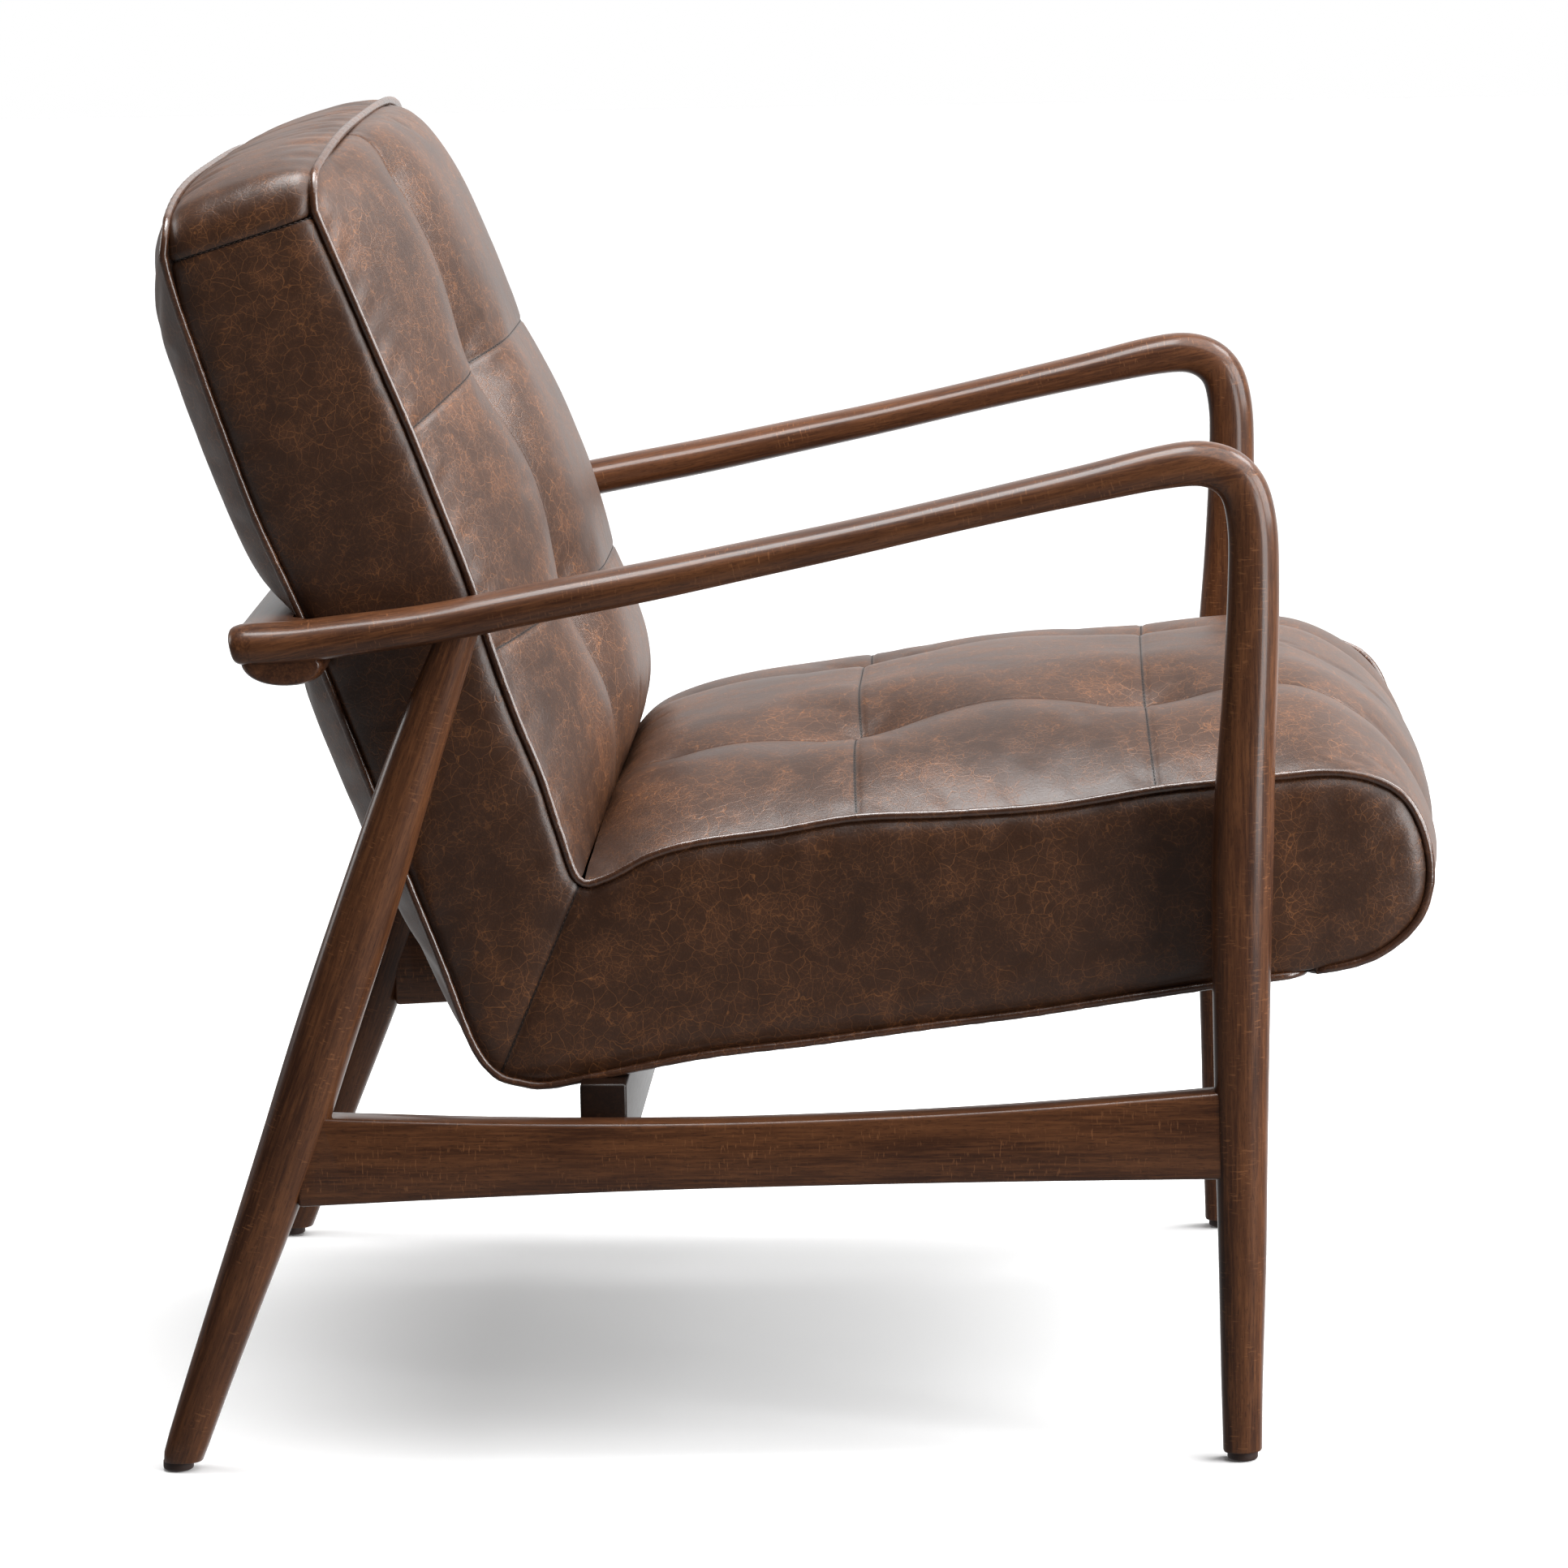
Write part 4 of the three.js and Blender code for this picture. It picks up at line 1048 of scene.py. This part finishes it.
top, column, row = laid_sheet("top_panel", TOP_ACROSS, TOP_ALONG, lay_top)
pad_out(top, rim_of(column, row), pressure=3.0, most=0.0025, growth=0.006)
line_up(top, PANEL_THICK, np.isin(column, (0, TOP_ACROSS)), SEAM_DEEP)
upholster(top, "leather", 0.8, "top_boxing")

# ---- Outer back ------------------------------------------------
# The leather over the rear of the back. It bellies out between its piping, except where
# the back rail presses on it, and turns under the heel.

OUTER_EDGE = [(317, 771), (320, 759), (314, 731), (303, 696)] + REAR_EDGE + [(128, 242), (110, 236)]
OUTER_FULL = [(322, 785), (337, 770), (341, 742), (334, 703), (317, 650), (295, 590), (269, 526),
              (239, 447), (203, 356), (175, 299), (151, 256), (130, 239.5), (110, 235)]
OUTER_MARKS = (0, 6, 12)
OUTER_ROWS = (50, 58)
OUTER_ACROSS = 100
RAIL_PRESS = 0.2455               # how far back the panel reaches where the rail presses on it,
RAIL_LEVEL, PRESS_HALF = 0.508, 0.019    # at what height and how far above and below it,
PRESS_EASE = 1.3                  # and how fast it bellies out again beyond that
HELD_HALF = 0.024
OUTER_FULLNESS = 9
OUTER_ROW_HIGH = 0.0058


def lay_outer(u, v):
    x = COVER_X * (1 - 2 * u)
    at = steps_to(OUTER_ROWS[::-1], (2, 1, 0))(v)
    below_top = np.clip(at / 0.3, 0, 1)
    share = fullness(x, TOP_FULLNESS + (OUTER_FULLNESS - TOP_FULLNESS) * below_top)[:, None]
    edge, full = run(OUTER_EDGE, OUTER_MARKS, at), run(OUTER_FULL, OUTER_MARKS, at)
    y, z = ((edge + (full - edge) * share) / 1000).T
    y = y + ripple(x, z, 0.0012) * gathered(COVER_X - np.abs(x), 0.018)
    limit = RAIL_PRESS + np.clip(np.abs(z - RAIL_LEVEL) - PRESS_HALF, 0, None) * PRESS_EASE
    y = np.minimum(y, limit)
    return round_corners(np.column_stack([x, y + MIDDLE, z]), v, OUTER_ROW_HIGH, sum(OUTER_ROWS))


outer, column, row = laid_sheet("outer_back", OUTER_ACROSS, sum(OUTER_ROWS), lay_outer)
pressed = np.abs(points_of(outer)[:, 2] - RAIL_LEVEL) < HELD_HALF
pad_out(outer, rim_of(column, row) | pressed, pressure=3.0, most=0.003, growth=0.006)
line_up(outer, PANEL_THICK)
upholster(outer, "leather", 0.5, "outer_back_panel")

# ---- Piping ----------------------------------------------------
# A cord wrapped in the same leather is sewn into the seam all round the front faces, and
# another all round the rear ones.

PIPING_RADIUS = 0.0027
PIPING_OUT = 0.0016
PIPING_BEND = 0.016
FRONT_CROWN, REAR_CROWN = -0.0004, 0.0014     # how far back the cords lie along the back's top
CORD_STEP = 0.004
FRONT_RUN = BACK_EDGE[:12] + [(75.5, 361)] + SEAT_EDGE[1:]
REAR_RUN = OUTER_EDGE[:11] + [(128, 242), (112, 236.5)] + UNDER_EDGE + [(-374, 300.5)]


def piping_loop(line, top_full, out_sign, crown_back):
    """The closed path of a piping: down one side, across below, up the other side, over."""
    path = run(line, (0, len(line) - 1), np.linspace(0, 1, 300)) / 1000
    side = path + outward(np.gradient(path, axis=0)) * out_sign * PIPING_OUT
    across = np.linspace(-PIPING_X, PIPING_X, 121)
    share = fullness(across)[:, None]
    crown = (np.array(line[0]) + (np.array(top_full) - np.array(line[0])) * share) / 1000
    crown = crown + np.array([crown_back, PIPING_OUT])
    under = np.tile(side[-1], (len(across), 1))
    right = np.column_stack([np.full(len(side), -PIPING_X), side])
    left = np.column_stack([np.full(len(side), PIPING_X), side])
    return [right, np.column_stack([across, under]), left[::-1], np.column_stack([-across, crown])]


def drawn_in(loop, radius):
    """Joins the loop's four runs with a bend of the given radius at each corner."""
    path = []
    for part in loop:
        length = length_along(part)
        path.append(part[(length > radius) & (length < length[-1] - radius)])
    joined = []
    for number, part in enumerate(path):
        joined.append(part)
        after = path[(number + 1) % len(path)]
        corner = (loop[number][-1] + loop[(number + 1) % len(loop)][0]) / 2
        share = np.linspace(0, 1, 9)[1:-1, None]
        joined.append((1 - share) ** 2 * part[-1] + 2 * share * (1 - share) * corner
                      + share ** 2 * after[0])
    path = np.concatenate(joined)
    closed = np.vstack([path, path[:1]])
    length = length_along(closed)
    even = np.linspace(0, length[-1], int(length[-1] / CORD_STEP) + 1)[:-1]
    cord_line = np.column_stack([np.interp(even, length, closed[:, axis]) for axis in range(3)])
    return cord_line + np.array([0, MIDDLE, 0])


def cord_along(name, path, radius, wobble=0.06):
    cord = drawn_path(name, path, True)
    for number, point in enumerate(cord.data.splines[0].points):
        point.radius = 1 + wobble * math.sin(1.7 * number) * math.sin(0.37 * number + 1)
    cord.data.bevel_depth = radius
    cord.data.bevel_resolution = 4
    cord.data.use_fill_caps = True
    pick(cord)
    bpy.ops.object.convert(target="MESH")
    return smooth(settle(bpy.context.object), 60)


front_path = drawn_in(piping_loop(FRONT_RUN, BACK_FULL[0], 1, FRONT_CROWN), PIPING_BEND)
rear_path = drawn_in(piping_loop(REAR_RUN, OUTER_FULL[0], -1, REAR_CROWN), PIPING_BEND)
front_cord = cord_along("front_piping_cord", front_path, PIPING_RADIUS)
rear_cord = cord_along("rear_piping_cord", rear_path, PIPING_RADIUS)
upholster(front_cord, "piping", 0, "front_piping")
upholster(rear_cord, "piping", 0, "rear_piping")

# ---- Inside the shell ------------------------------------------
# The boards, webbing, dowels, screws and nails that hold the chair together are plain
# shop parts. They keep their modelled shapes, with raw wood, web and zinc finishes.


def plain_finish(name, first, second, scale, rough, metal=0.0, stretch=(1, 1, 1)):
    material, shader = finish_named(name)
    laid = Shade(Shade.node("ShaderNodeMapping", Vector=on_piece(), Scale=stretch).outputs[0])
    mark = noise(laid, scale, 4, 0.6)
    Shade.feed(shader, "Base Color", mixed(mark.span(0.3, 0.7), first, second))
    Shade.feed(shader, "Roughness", rough + 0.15 * mark)
    Shade.feed(shader, "Normal", bump(mark, 0.2, 0.0004))
    shader.inputs["Metallic"].default_value = metal
    return material


raw_wood = plain_finish("raw_wood", tint(196, 160, 112), tint(214, 182, 136), 220, 0.6,
                        stretch=(0.06, 1, 1))
web_cloth = plain_finish("web_cloth", tint(40, 38, 36), tint(78, 74, 70), 1400, 0.8)
zinc = plain_finish("zinc", tint(112, 112, 112), tint(142, 142, 142), 600, 0.4, 1.0)
dust_cloth = plain_finish("dust_cloth", tint(22, 20, 19), tint(38, 35, 33), 1600, 0.85)
shop_finishes = {"wood": raw_wood, "frame_wood": raw_wood, "webbing": web_cloth, "steel": zinc,
                 "lining": dust_cloth, "foam": web_cloth}

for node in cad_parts.values():
    if not node.hide_render:
        for place in node.material_slots:
            place.material = shop_finishes[place.material.name.split(".")[0]]
